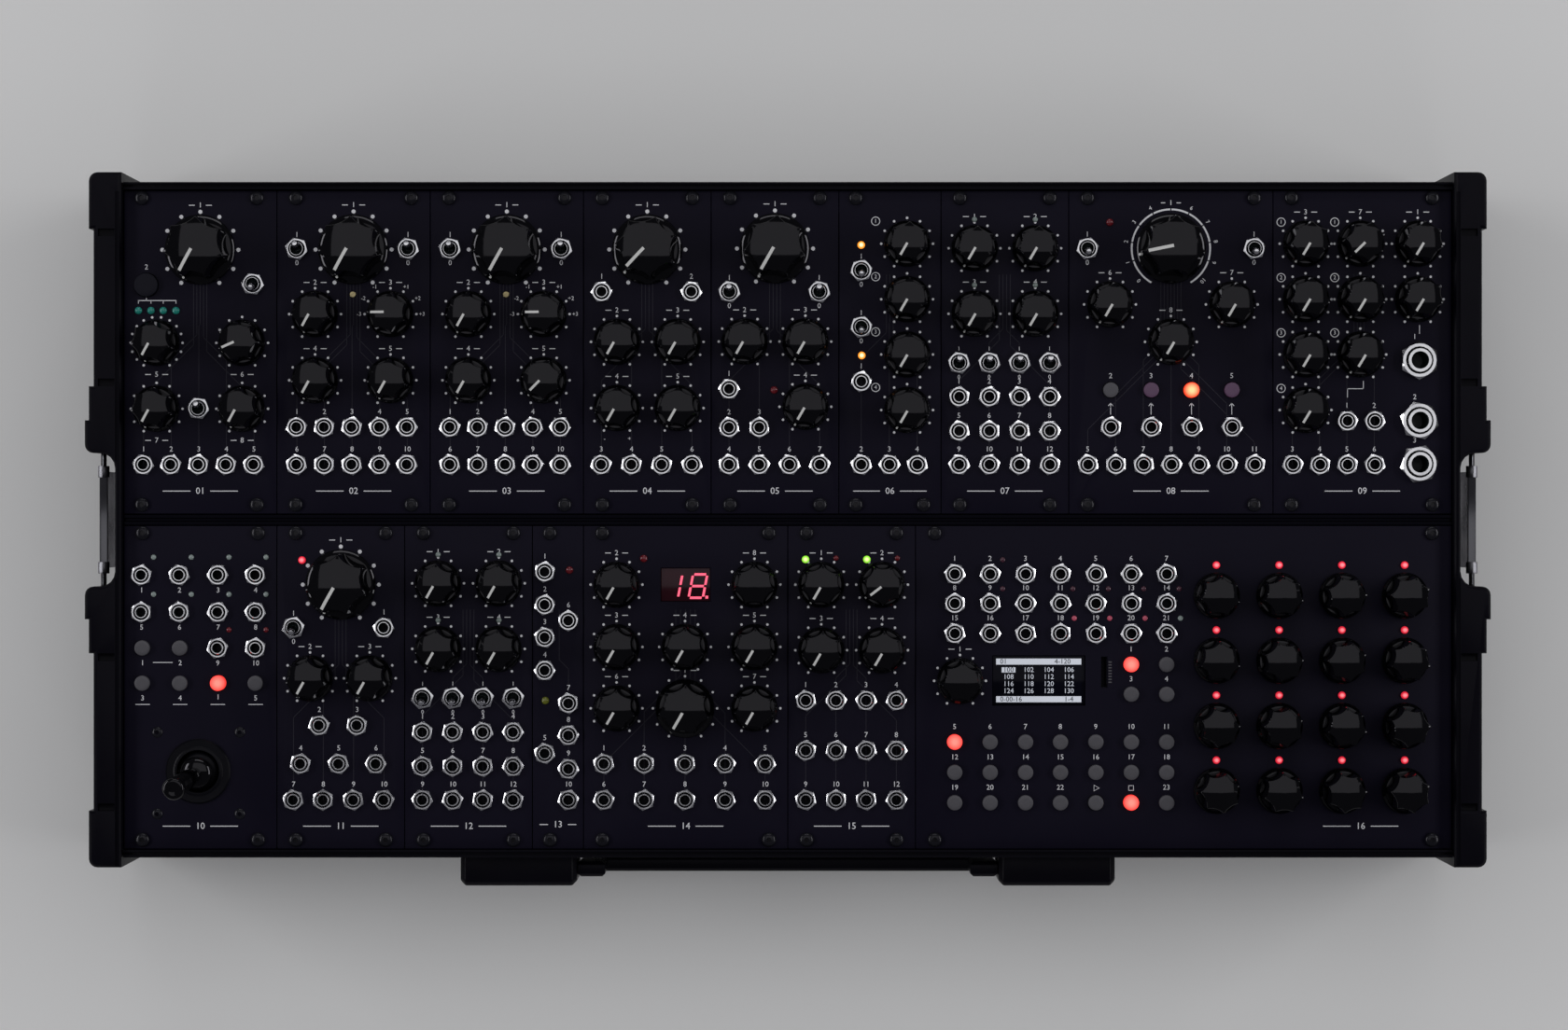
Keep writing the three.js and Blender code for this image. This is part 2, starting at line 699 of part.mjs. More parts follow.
const lowerRow = [
  {
    name: "joystick_module",
    units: 12,
    fixed: [
      { kind: "jack", acrossShares: [0.117, 0.364, 0.616, 0.861], upShares: [0.848, 0.733] },
      { kind: "button", acrossShares: [0.123, 0.368], upShares: [0.622] },
      { kind: "jack", acrossShares: [0.614, 0.861], upShares: [0.622] },
      { kind: "button", acrossShares: [0.123, 0.368, 0.861], upShares: [0.513] },
    ],
    moving: [{ kind: "button", name: "channel_button", acrossShare: 0.616, upShare: 0.513 }],
    joystick: { acrossShare: 0.487, upShare: 0.24 },
  },
  {
    name: "modulator_module",
    units: 10,
    fixed: [
      { kind: "toggle", acrossShares: [0.13], upShares: [0.685], lean: -1 },
      { kind: "jack", acrossShares: [0.838], upShares: [0.685] },
      { kind: "knob", acrossShares: [0.259, 0.727], upShares: [0.528] },
      { kind: "jack", acrossShares: [0.332, 0.628], upShares: [0.383] },
      { kind: "jack", acrossShares: [0.186, 0.484, 0.776], upShares: [0.264] },
      { kind: "jack", acrossShares: [0.13, 0.363, 0.6, 0.838], upShares: footShares },
    ],
    moving: [
      { kind: "largeKnob", name: "rate_knob", acrossShare: 0.5, upShare: 0.818, dial: lowestDial },
    ],
  },
  quadAmplifier("lower", -1),
  {
    name: "mixer_module",
    units: 4,
    fixed: [
      { kind: "jack", acrossShares: [0.245], upShares: [0.858, 0.756, 0.655, 0.553, 0.296] },
      { kind: "jack", acrossShares: [0.707], upShares: [0.707, 0.451, 0.352, 0.248, ...footShares] },
    ],
    moving: [],
  },
  {
    name: "effects_module",
    units: 16,
    fixed: [
      { kind: "knob", acrossShares: [0.162, 0.837], upShares: [0.818, 0.435] },
      { kind: "knob", acrossShares: [0.162, 0.497, 0.837], upShares: [0.625] },
      { kind: "digits", acrossShares: [0.5], upShares: [0.818] },
      { kind: "jack", acrossShares: [0.1, 0.297, 0.497, 0.693, 0.889], upShares: [0.264, ...footShares] },
    ],
    moving: [
      { kind: "middleKnob", name: "blend_knob", acrossShare: 0.497, upShare: 0.435, dial: lowestDial },
    ],
  },
  {
    name: "voltage_tools_module",
    units: 10,
    fixed: [
      { kind: "knob", acrossShares: [twoKnobShares[1]], upShares: [0.818] },
      { kind: "knob", acrossShares: twoKnobShares, upShares: [0.615] },
      { kind: "jack", acrossShares: fourAcrossShares, upShares: [0.46, 0.305, ...footShares] },
    ],
    moving: [
      {
        kind: "smallKnob",
        name: "scale_knob",
        acrossShare: twoKnobShares[0],
        upShare: 0.818,
        dial: lowestDial,
      },
    ],
  },
  {
    name: "sequencer_module",
    units: 42,
    fixed: [
      { kind: "jack", acrossShares: sequencerColumnShares, upShares: [0.851, 0.76, 0.667] },
      { kind: "screen", acrossShares: [0.23], upShares: [0.521] },
      { kind: "cardSlot", acrossShares: [0.352], upShares: [0.547] },
      { kind: "button", acrossShares: sequencerColumnShares.slice(5), upShares: [0.571, 0.479] },
      { kind: "button", acrossShares: sequencerColumnShares, upShares: [0.331, 0.237] },
      { kind: "button", acrossShares: sequencerColumnShares.slice(0, 4), upShares: [0.143] },
      { kind: "button", acrossShares: sequencerColumnShares.slice(6), upShares: [0.143] },
      { kind: "knob", acrossShares: stepColumnShares.slice(1), upShares: [stepRowShares[0]] },
      { kind: "knob", acrossShares: stepColumnShares, upShares: stepRowShares.slice(1) },
    ],
    moving: [
      { kind: "smallKnob", name: "data_knob", acrossShare: 0.083, upShare: 0.52, dial: lowestDial },
      { kind: "button", name: "play_button", acrossShare: sequencerColumnShares[4], upShare: 0.143 },
      { kind: "button", name: "stop_button", acrossShare: sequencerColumnShares[5], upShare: 0.143 },
      {
        kind: "smallKnob",
        name: "step_knob",
        acrossShare: stepColumnShares[0],
        upShare: stepRowShares[0],
        dial: 0,
      },
    ],
  },
];

// Building one module: its fixed body, and the pieces that move in it

function places(module, group) {
  const width = module.units * modulePitch;
  return group.acrossShares.flatMap((acrossShare) =>
    group.upShares.map((upShare) => [acrossShare * width, upShare * panelHeight]),
  );
}

// The jack bodies behind one row of sockets, standing on the circuit board
function jackRowBodies(module, group) {
  const width = module.units * modulePitch;
  const left = Math.min(...group.acrossShares) * width;
  const right = Math.max(...group.acrossShares) * width;
  const depth = panelThickness + partsDepth;
  return group.upShares.map((upShare) =>
    block(right - left + jackBodyWidth, jackBodyWidth, depth, (left + right) / 2, upShare * panelHeight,
      -depth - circuitThickness / 2),
  );
}

function circuitBoard(module) {
  const width = module.units * modulePitch;
  const top = panelThickness + partsDepth;
  return [
    block(width - 2 * circuitInset, circuitHeight, circuitThickness, width / 2, panelHeight / 2,
      -top - circuitThickness),
  ];
}

function moduleBody(module) {
  const width = module.units * modulePitch;
  const panel = block(width - panelPlay, panelHeight, panelThickness, width / 2, panelHeight / 2,
    -panelThickness);
  const marks = module.fixed.flatMap((group) =>
    places(module, group).map(([x, y]) => fixedKinds[group.kind](x, y, group.lean)),
  );
  module.moving.forEach((control) => {
    const at = [control.acrossShare * width, control.upShare * panelHeight];
    marks.push(movingKinds[control.kind].seat(...at));
  });
  if (module.joystick) {
    marks.push(joystickSeatAt(module.joystick.acrossShare * width, module.joystick.upShare * panelHeight));
  }
  const rows = module.fixed.filter((group) => group.kind === "jack");
  const bodies = rows.flatMap((group) => jackRowBodies(module, group));
  const added = [panel, ...circuitBoard(module), ...bodies, ...marks.flatMap((mark) => mark.added)];
  return named(module.name, joined(added, marks.flatMap((mark) => mark.cut)), blackPaint);
}

function movingPiece(module, control) {
  const mesh = movingKinds[control.kind].piece();
  mesh.name = control.name;
  mesh.position.set(control.acrossShare * module.units * modulePitch, control.upShare * panelHeight, 0);
  if (control.dial !== undefined) {
    mesh.rotation.z = -THREE.MathUtils.degToRad(control.dial);
  }
  if (control.lean !== undefined) {
    mesh.position.z = -togglePivotDepth;
    mesh.rotation.x = -control.lean * toggleLean;
  }
  return mesh;
}

function joystickPieces(module) {
  const pieces = new THREE.Group();
  const gimbal = named("joystick_gimbal", gimbalGeometry(), railMetal);
  gimbal.rotation.set(stickLeanFront, 0, 0);
  const stick = named("joystick_stick", stickGeometry(), blackPlastic);
  stick.rotation.set(stickLeanFront, -stickLeanLeft, 0);
  pieces.add(gimbal, stick);
  pieces.position.set(
    module.joystick.acrossShare * module.units * modulePitch,
    module.joystick.upShare * panelHeight,
    -gimbalDepth,
  );
  return pieces;
}

function moduleGroup(module) {
  const group = new THREE.Group();
  group.add(moduleBody(module));
  module.moving.forEach((control) => group.add(movingPiece(module, control)));
  if (module.joystick) {
    group.add(joystickPieces(module));
  }
  return group;
}

function rowOfModules(modules, bottom) {
  const row = new THREE.Group();
  let left = -rowLength / 2;
  modules.forEach((module) => {
    const group = moduleGroup(module);
    group.position.set(left, bottom, panelTop);
    row.add(group);
    left += module.units * modulePitch;
  });
  return row;
}

// Case

// A profile drawn in Y and Z, swept along X and centred on it
function sweptAlongX(points, length) {
  const shape = new THREE.Shape(points.map(([y, z]) => new THREE.Vector2(y, z)));
  const geometry = new THREE.ExtrudeGeometry(shape, { depth: length, bevelEnabled: false });
  return geometry.rotateX(Math.PI / 2).rotateZ(Math.PI / 2).translate(-length / 2, 0, 0);
}

// Half of the tray's profile, from the middle of the floor out to the rim, as [y, z]
function trayHalf() {
  const gasketInner = trayInner + (wallThickness - gasketWidth) / 2;
  const ribLow = footHeight + wallRibHeight;
  return [
    [trayOuter, footHeight],
    [trayOuter, ribLow],
    [trayOuter + wallRibWidth, ribLow + wallRibWidth],
    [trayOuter + wallRibWidth, ribLow + wallRibHeight],
    [trayOuter, ribLow + wallRibHeight + wallRibWidth],
    [trayOuter, rimTop],
    [gasketInner + gasketWidth, rimTop],
    [gasketInner + gasketWidth, rimTop - gasketDepth],
    [gasketInner, rimTop - gasketDepth],
    [gasketInner, rimTop],
    [trayInner, rimTop],
    [trayInner, floorTop],
  ];
}

function trayMesh() {
  const half = trayHalf();
  const mirrored = half.map(([y, z]) => [-y, z]).reverse();
  const trough = sweptAlongX([...half, ...mirrored], trayLength);
  const inletHole = pinAlongY(cornerRadius(inletBarrelRadius + seatGap, 8), 2 * wallThickness, 8);
  inletHole.translate(inletPlace, (trayInner + trayOuter) / 2, inletHeight);
  return named("case_tray", joined([trough], [inletHole]), blackPlastic);
}

// The outline of one end cap: x is the depth from the case's inside outwards, y runs along the end
function capShape() {
  const bumper = endWallThickness + bumperDepth;
  const boss = endWallThickness + bossDepth;
  const guard = endWallThickness + guardDepth;
  const halfRecess = recessLength / 2;
  const middleEnd = halfRecess + middleBossLength;
  const cornerStart = capHalf - cornerBossLength;
  const shape = new THREE.Shape();
  shape.moveTo(0, -capHalf);
  shape.lineTo(boss - capRound, -capHalf);
  shape.absarc(boss - capRound, -capHalf + capRound, capRound, -Math.PI / 2, 0, false);
  shape.lineTo(boss, -cornerStart);
  shape.lineTo(bumper, -cornerStart);
  shape.lineTo(bumper, -middleEnd);
  shape.lineTo(boss, -middleEnd);
  shape.lineTo(boss, -halfRecess - guardLength);
  shape.lineTo(guard, -halfRecess - guardLength);
  shape.absarc(guard - capRound, -halfRecess - capRound, capRound, 0, Math.PI / 2, false);
  const filletReach = endWallThickness + recessFillet;
  const filletPlace = halfRecess - recessFillet;
  shape.lineTo(filletReach, -halfRecess);
  shape.absarc(filletReach, -filletPlace, recessFillet, -Math.PI / 2, Math.PI, true);
  shape.lineTo(endWallThickness, filletPlace);
  shape.absarc(filletReach, filletPlace, recessFillet, Math.PI, Math.PI / 2, true);
  shape.absarc(guard - capRound, halfRecess + capRound, capRound, -Math.PI / 2, 0, false);
  shape.lineTo(guard, halfRecess + guardLength);
  shape.lineTo(boss, halfRecess + guardLength);
  shape.lineTo(boss, middleEnd);
  shape.lineTo(bumper, middleEnd);
  shape.lineTo(bumper, cornerStart);
  shape.lineTo(boss, cornerStart);
  shape.absarc(boss - capRound, capHalf - capRound, capRound, 0, Math.PI / 2, false);
  shape.lineTo(0, capHalf);
  return shape;
}

const latchPivotHeight = rimTop - latchDrop;
const latchPivotReach = endWallThickness + latchStandOff;
const latchPinHalf = recessLength / 2 + trunnionBite;

// Grooves across the top of an end cap, where its bumper meets the corner and middle bosses
function capGrooves() {
  const length = bumperDepth - grooveLip;
  const cornerPlace = capHalf - cornerBossLength - grooveWidth / 2;
  const middlePlace = recessLength / 2 + middleBossLength + grooveWidth / 2;
  return [-cornerPlace, -middlePlace, middlePlace, cornerPlace].map((place) =>
    block(length, grooveWidth, grooveDepth + overrun, endWallThickness + length / 2, place, capTop - grooveDepth),
  );
}

// An end cap on the right; the left one is the same piece turned half round
function endCap(name) {
  const pinHole = pinAlongY(cornerRadius(latchPinRadius + seatGap, 6), 2 * (latchPinHalf + seatGap), 6);
  pinHole.translate(latchPivotReach, 0, latchPivotHeight);
  const body = swept(capShape(), capTop, capEdge);
  return named(name, joined([body], [pinHole, ...capGrooves()]), blackPlastic);
}

// The latch lever hangs from its pin, with a knuckle at each end and a lip for the finger
function latchLever(name) {
  const plateHeight = latchHeight - latchKnuckleRadius;
  const plate = block(latchThickness, latchWidth - latchKnuckleLength, plateHeight + latchPinRadius, 0, 0,
    -plateHeight);
  const knuckles = [-1, 1].map((side) =>
    pinAlongY(latchKnuckleRadius, latchKnuckleLength, 8).translate(
      0, (side * (latchWidth - latchKnuckleLength)) / 2, 0),
  );
  const pin = pinAlongY(latchPinRadius, 2 * latchPinHalf, 6);
  const lip = block(latchLipLength, latchWidth - latchKnuckleLength, latchLipThickness,
    (latchLipLength - latchThickness) / 2, 0, -plateHeight - latchLipThickness + overrun);
  return named(name, joined([plate, ...knuckles, pin, lip]), railMetal);
}

// One end of the case: the cap and its latch, drawn for the right side
function caseEnd(side, suffix) {
  const end = new THREE.Group();
  end.add(endCap(`end_cap_${suffix}`));
  const lever = latchLever(`latch_${suffix}`);
  lever.position.set(latchPivotReach, 0, latchPivotHeight);
  end.add(lever);
  end.position.x = side * capInner;
  end.rotation.z = side > 0 ? 0 : Math.PI;
  return end;
}

// A slotted rail's profile between two edges; a double rail has a slot for each row and a web between them
function railProfile(slots, low, high, web) {
  const top = railTop;
  const bottom = railTop - railHeight;
  const chamberTop = top - slotMouthDepth;
  const chamberBottom = chamberTop - slotChamberDepth;
  const edge = [];
  slots.forEach((middle) => {
    edge.push([middle - slotWidth / 2, top]);
    edge.push([middle - slotWidth / 2, chamberTop]);
    edge.push([middle - slotChamberWidth / 2, chamberTop]);
    edge.push([middle - slotChamberWidth / 2, chamberBottom]);
    edge.push([middle + slotChamberWidth / 2, chamberBottom]);
    edge.push([middle + slotChamberWidth / 2, chamberTop]);
    edge.push([middle + slotWidth / 2, chamberTop]);
    edge.push([middle + slotWidth / 2, top]);
    if (web > 0 && middle < 0) {
      edge.push([-web, top]);
      edge.push([-web, panelTop]);
      edge.push([-webGrooveWidth / 2, panelTop]);
      edge.push([-webGrooveWidth / 2, panelTop - webGrooveDepth]);
      edge.push([webGrooveWidth / 2, panelTop - webGrooveDepth]);
      edge.push([webGrooveWidth / 2, panelTop]);
      edge.push([web, panelTop]);
      edge.push([web, top]);
    }
  });
  return [[low, bottom], [low, top], ...edge, [high, top], [high, bottom]].reverse();
}

function rails() {
  const group = new THREE.Group();
  const slotInset = railWidth / 2;
  const outer = trayInner - seatGap;
  const sideSlot = outer - slotInset;
  const back = railProfile([sideSlot], outer - railWidth, outer, 0);
  const front = railProfile([-sideSlot], -outer, -outer + railWidth, 0);
  const middleHalf = rowGap / 2 + railWidth;
  const middleSlot = rowGap / 2 + slotInset;
  const web = rowGap / 2 - seatGap;
  const middle = railProfile([-middleSlot, middleSlot], -middleHalf, middleHalf, web);
  group.add(named("rail_back", sweptAlongX(back, trayLength), railMetal));
  group.add(named("rail_middle", sweptAlongX(middle, trayLength), railMetal));
  group.add(named("rail_front", sweptAlongX(front, trayLength), railMetal));
  return group;
}

// Handle

const handlePivotHeight = bracketLift + bracketHeight - handlePivotDrop;
const handlePivotReach = trayOuter + seatGap + bracketDepth / 2;

// A bracket on the front wall, with a blind hole in its inner end for the handle's pin
function handleBracket(side, suffix) {
  const shape = new THREE.Shape();
  shape.moveTo(0, 0);
  shape.lineTo(bracketDepth, bracketEdge);
  shape.lineTo(bracketDepth, bracketHeight - bracketEdge);
  shape.lineTo(bracketDepth - bracketEdge, bracketHeight);
  shape.lineTo(0, bracketHeight);
  const body = swept(shape, bracketLength, bracketEdge).rotateX(Math.PI / 2).rotateZ(-Math.PI / 2);
  body.translate(bracketLength / 2, 0, 0);
  const hole = pinAlongX(cornerRadius(handlePinRadius + seatGap, 8), 2 * handlePinLength, 8);
  hole.translate((-side * bracketLength) / 2, -bracketDepth / 2, handlePivotHeight - bracketLift);
  const bracket = named(`handle_bracket_${suffix}`, joined([body], [hole]), blackPlastic);
  bracket.position.set((side * (bracketSpan + bracketLength)) / 2, -trayOuter - seatGap, bracketLift);
  return bracket;
}

// The grip is a bail that hangs from a pin at each end, modelled round the pins' axis
function handleGrip() {
  const half = bracketSpan / 2 - seatGap;
  const inner = half - handleBar;
  const top = handleBar / 2;
  const shape = new THREE.Shape();
  shape.moveTo(-half, top);
  shape.lineTo(-half, -handleDrop + handleCorner);
  shape.absarc(-half + handleCorner, -handleDrop + handleCorner, handleCorner, Math.PI, 1.5 * Math.PI, false);
  shape.lineTo(half - handleCorner, -handleDrop);
  shape.absarc(half - handleCorner, -handleDrop + handleCorner, handleCorner, -Math.PI / 2, 0, false);
  shape.lineTo(half, top);
  shape.lineTo(inner, top);
  shape.lineTo(inner, -handleDrop + handleBar);
  shape.lineTo(-inner, -handleDrop + handleBar);
  shape.lineTo(-inner, top);
  const bail = swept(shape, handleThickness, handleEdge).rotateX(Math.PI / 2);
  bail.translate(0, handleThickness / 2, 0);
  const pinPlace = half + handlePinLength / 2 - overrun;
  const pins = [-1, 1].map((side) =>
    pinAlongX(handlePinRadius, handlePinLength, 8).translate(side * pinPlace, 0, 0),
  );
  const grip = named("handle_grip", joined([bail, ...pins]), blackPlastic);
  grip.position.set(0, -handlePivotReach, handlePivotHeight);
  return grip;
}

// Power

function powerBoard() {
  const top = standoffHeight + boardThickness;
  const plate = block(boardLength, boardWidth, boardThickness, 0, 0, standoffHeight);
  const feet = [-1, 1].flatMap((across) =>
    [-1, 1].map((along) =>
      post(standoffRadius, standoffRadius, standoffHeight + overrun, 6,
        across * (boardLength / 2 - standoffInset), along * (boardWidth / 2 - standoffInset), 0),
    ),
  );
  const headerPitch = boardLength / headersPerRow;
  const headers = [-1, 1].flatMap((row) =>
    Array.from({ length: headersPerRow }, (_, i) =>
      block(headerLength, headerWidth, headerHeight + overrun,
        (i + 1 / 2 - headersPerRow / 2) * headerPitch, (row * rowPitch) / 2, top - overrun),
    ),
  );
  const supply = block(supplyLength, supplyWidth, supplyHeight + overrun, 0, 0, top - overrun);
  const board = named("power_board", joined([plate, ...feet, ...headers, supply]), circuit);
  board.position.z = floorTop + seatGap;
  return board;
}

// The inlet's flange lies on the back wall's outer face and its nut on the inner face, modelled along +Y
function powerInlet() {
  const flangeSeat = wallThickness / 2 + seatGap;
  const flange = pinAlongY(inletFlangeRadius, inletFlangeThickness, 10)
    .translate(0, flangeSeat + inletFlangeThickness / 2, 0);
  const barrelEnd = flangeSeat + inletFlangeThickness;
  const barrel = pinAlongY(inletBarrelRadius, inletBarrelLength, 8)
    .translate(0, barrelEnd - inletBarrelLength / 2, 0);
  const nut = pinAlongY(inletNutRadius, inletNutThickness, 6)
    .translate(0, -flangeSeat - inletNutThickness / 2, 0);
  const mouth = pinAlongY(inletBoreRadius, inletBoreDepth + overrun, 8)
    .translate(0, barrelEnd + (overrun - inletBoreDepth) / 2, 0);
  const inlet = named("power_inlet", joined([flange, barrel, nut], [mouth]), railMetal);
  inlet.position.set(inletPlace, (trayInner + trayOuter) / 2, inletHeight);
  return inlet;
}

// The whole: rows and case share a middle, which sits behind the origin by half of what the handle adds
const synthesizer = new THREE.Group();
const body = new THREE.Group();
body.position.y = (handleReach - capHalf) / 2;
body.add(trayMesh(), caseEnd(-1, "left"), caseEnd(1, "right"), rails());
body.add(powerBoard(), powerInlet());
body.add(handleBracket(-1, "left"), handleBracket(1, "right"), handleGrip());
body.add(rowOfModules(upperRow, rowPitch - (rowPitch + panelHeight) / 2));
body.add(rowOfModules(lowerRow, -(rowPitch + panelHeight) / 2));
synthesizer.add(body);

export default synthesizer;
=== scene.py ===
# %% [markdown]
# A two-row modular synthesizer lying open in the lower half of its travel case.
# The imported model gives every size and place: this lesson only makes the surfaces that are seen.
# Each node of that model is replaced by a finer piece, which rides on the same body.

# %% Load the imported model
import json
import math

import bpy
from mathutils import Matrix, Vector

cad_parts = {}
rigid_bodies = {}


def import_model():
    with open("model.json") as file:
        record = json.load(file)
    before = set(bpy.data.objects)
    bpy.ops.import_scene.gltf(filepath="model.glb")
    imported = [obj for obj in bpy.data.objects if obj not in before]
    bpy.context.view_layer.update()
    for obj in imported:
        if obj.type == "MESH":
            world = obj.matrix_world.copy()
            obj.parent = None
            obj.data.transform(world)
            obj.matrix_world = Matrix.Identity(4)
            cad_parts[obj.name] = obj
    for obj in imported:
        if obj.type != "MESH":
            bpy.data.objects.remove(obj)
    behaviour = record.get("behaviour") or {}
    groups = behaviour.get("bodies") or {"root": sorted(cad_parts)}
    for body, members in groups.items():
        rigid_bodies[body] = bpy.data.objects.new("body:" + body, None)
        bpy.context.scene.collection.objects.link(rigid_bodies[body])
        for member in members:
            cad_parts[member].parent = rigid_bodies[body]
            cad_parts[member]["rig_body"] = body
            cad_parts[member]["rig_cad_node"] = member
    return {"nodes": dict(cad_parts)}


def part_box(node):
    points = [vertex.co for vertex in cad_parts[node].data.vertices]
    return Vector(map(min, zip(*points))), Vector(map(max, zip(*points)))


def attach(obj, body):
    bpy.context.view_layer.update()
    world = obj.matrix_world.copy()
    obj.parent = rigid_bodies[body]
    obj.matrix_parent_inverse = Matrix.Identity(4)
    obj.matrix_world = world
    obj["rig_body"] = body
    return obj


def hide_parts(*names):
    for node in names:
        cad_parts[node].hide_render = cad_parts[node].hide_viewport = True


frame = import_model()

for name in ("Cube", "Light", "Camera"):
    if name in bpy.data.objects:
        bpy.data.objects.remove(bpy.data.objects[name])
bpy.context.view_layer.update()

# %% [markdown]
# Lengths are metres, so a named millimetre keeps the sizes readable.
# The panel level and the rows' middle come from the model, and so does each module's width.

# %% Units and levels
mm = 0.001
degree = math.pi / 180
panel_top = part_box("rail_middle")[1].z
row_middle = (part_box("rail_back")[1].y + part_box("rail_front")[0].y) / 2
print("panel level:", round(panel_top / mm, 2), "mm")

# %% [markdown]
# Every mesh is shaped the way a modeller does it by hand: add a primitive, select faces, extrude,
# inset, cut, and finish with modifiers. These helpers hold the few clicks that come again and again.
# The model's nodes are selected after loading, so each step starts by deselecting everything.

# %% Selecting and settling
def only(piece):
    bpy.ops.object.select_all(action="DESELECT")
    piece.select_set(True)
    bpy.context.view_layer.objects.active = piece
    return piece


def settled(piece):
    only(piece)
    bpy.ops.object.transform_apply(location=True, rotation=True, scale=True)
    return piece


def block(size, at):
    bpy.ops.object.select_all(action="DESELECT")
    bpy.ops.mesh.primitive_cube_add(size=1, location=at, scale=size)
    return settled(bpy.context.object)


def pick_faces(piece, wanted):
    only(piece)
    bpy.ops.object.mode_set(mode="EDIT")
    bpy.ops.mesh.select_mode(type="FACE")
    bpy.ops.mesh.select_all(action="DESELECT")
    bpy.ops.object.mode_set(mode="OBJECT")
    for face in piece.data.polygons:
        face.select = wanted(face)
    bpy.ops.object.mode_set(mode="EDIT")


def leave_edit():
    bpy.ops.object.mode_set(mode="OBJECT")


def cleaned(piece, smooth_angle=35, merge=0.002 * mm):
    only(piece)
    bpy.ops.object.mode_set(mode="EDIT")
    bpy.ops.mesh.select_all(action="SELECT")
    bpy.ops.mesh.remove_doubles(threshold=merge)
    bpy.ops.mesh.normals_make_consistent(inside=False)
    leave_edit()
    bpy.ops.object.shade_smooth_by_angle(angle=smooth_angle * degree)
    return piece


def apply_modifier(piece, kind, **settings):
    only(piece)
    modifier = piece.modifiers.new(kind.lower(), kind)
    for name, value in settings.items():
        setattr(modifier, name, value)
    bpy.ops.object.modifier_apply(modifier=modifier.name)
    return piece


def rounded(piece, width, segments=2, angle=30, clamped=True):
    return apply_modifier(piece, "BEVEL", width=width, segments=segments, limit_method="ANGLE",
                          angle_limit=angle * degree, use_clamp_overlap=clamped)


def cut(piece, *cutters):
    for cutter in cutters:
        apply_modifier(piece, "BOOLEAN", operation="DIFFERENCE", solver="EXACT", object=cutter)
        bpy.data.objects.remove(cutter)
    return piece


def shared_with(piece, other):
    apply_modifier(piece, "BOOLEAN", operation="INTERSECT", solver="EXACT", object=other)
    bpy.data.objects.remove(other)
    return piece


# %% [markdown]
# Round pieces are turned: one filled circle is extruded and scaled ring by ring along a profile.
# The profile is read like a lathe drawing, as pairs of radius and height.

# %% Turning on a profile
def in_mm(*profile):
    return [(radius * mm, height * mm) for radius, height in profile]


def turned(profile, sides):
    (radius, height), *rest = profile
    bpy.ops.object.select_all(action="DESELECT")
    bpy.ops.mesh.primitive_circle_add(vertices=sides, radius=radius, fill_type="NGON",
                                      location=(0, 0, height))
    piece = settled(bpy.context.object)
    pick_faces(piece, lambda face: True)
    for next_radius, next_height in rest:
        bpy.ops.mesh.extrude_region_move(
            TRANSFORM_OT_translate={"value": (0, 0, next_height - height)})
        share = next_radius / radius
        bpy.ops.transform.resize(value=(share, share, 1), center_override=(0, 0, next_height))
        radius, height = next_radius, next_height
    leave_edit()
    return cleaned(piece)


def prism(radius, low, high, sides, turn=0):
    bpy.ops.object.select_all(action="DESELECT")
    bpy.ops.mesh.primitive_cylinder_add(vertices=sides, radius=radius, depth=high - low,
                                        location=(0, 0, (low + high) / 2), rotation=(0, 0, turn))
    return settled(bpy.context.object)


# %% [markdown]
# What repeats is modelled once and copied, each copy with its own mesh.
# Copies that stay together on one body are gathered into one piece, as screws in a box are.

# %% Copying and gathering
def placed(x, y, z=0.0, turn=0.0, tilt=0.0):
    return Matrix.Translation((x, y, z)) @ Matrix.Rotation(turn, 4, "Z") @ Matrix.Rotation(tilt, 4, "X")


def copied(prototype, place):
    copy = prototype.copy()
    copy.data = prototype.data.copy()
    copy.data.transform(place)
    bpy.context.scene.collection.objects.link(copy)
    return copy


def gathered(name, pieces):
    bpy.ops.object.select_all(action="DESELECT")
    for piece in pieces:
        piece.select_set(True)
    bpy.context.view_layer.objects.active = pieces[0]
    if len(pieces) > 1:
        bpy.ops.object.join()
    whole = bpy.context.view_layer.objects.active
    whole.name = name
    whole.data.name = name
    return whole


def dressed(piece, *materials):
    piece.data.materials.clear()
    for material in materials:
        piece.data.materials.append(material)
    return piece


def riding(piece, body, slot, *nodes):
    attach(piece, body)
    if nodes:
        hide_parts(*nodes)
    return piece


# %% [markdown]
# Plastic, paint and metal all share one effect: a fine grain that lifts the surface a little, and
# larger patches where handling has changed the colour and the gloss. It is built once as a node
# group that puts out a colour, a roughness and a normal, and each material gives it its own values.

# %% The shared surface group
def node(tree, kind, **settings):
    made = tree.nodes.new(kind)
    for name, value in settings.items():
        setattr(made, name, value)
    return made


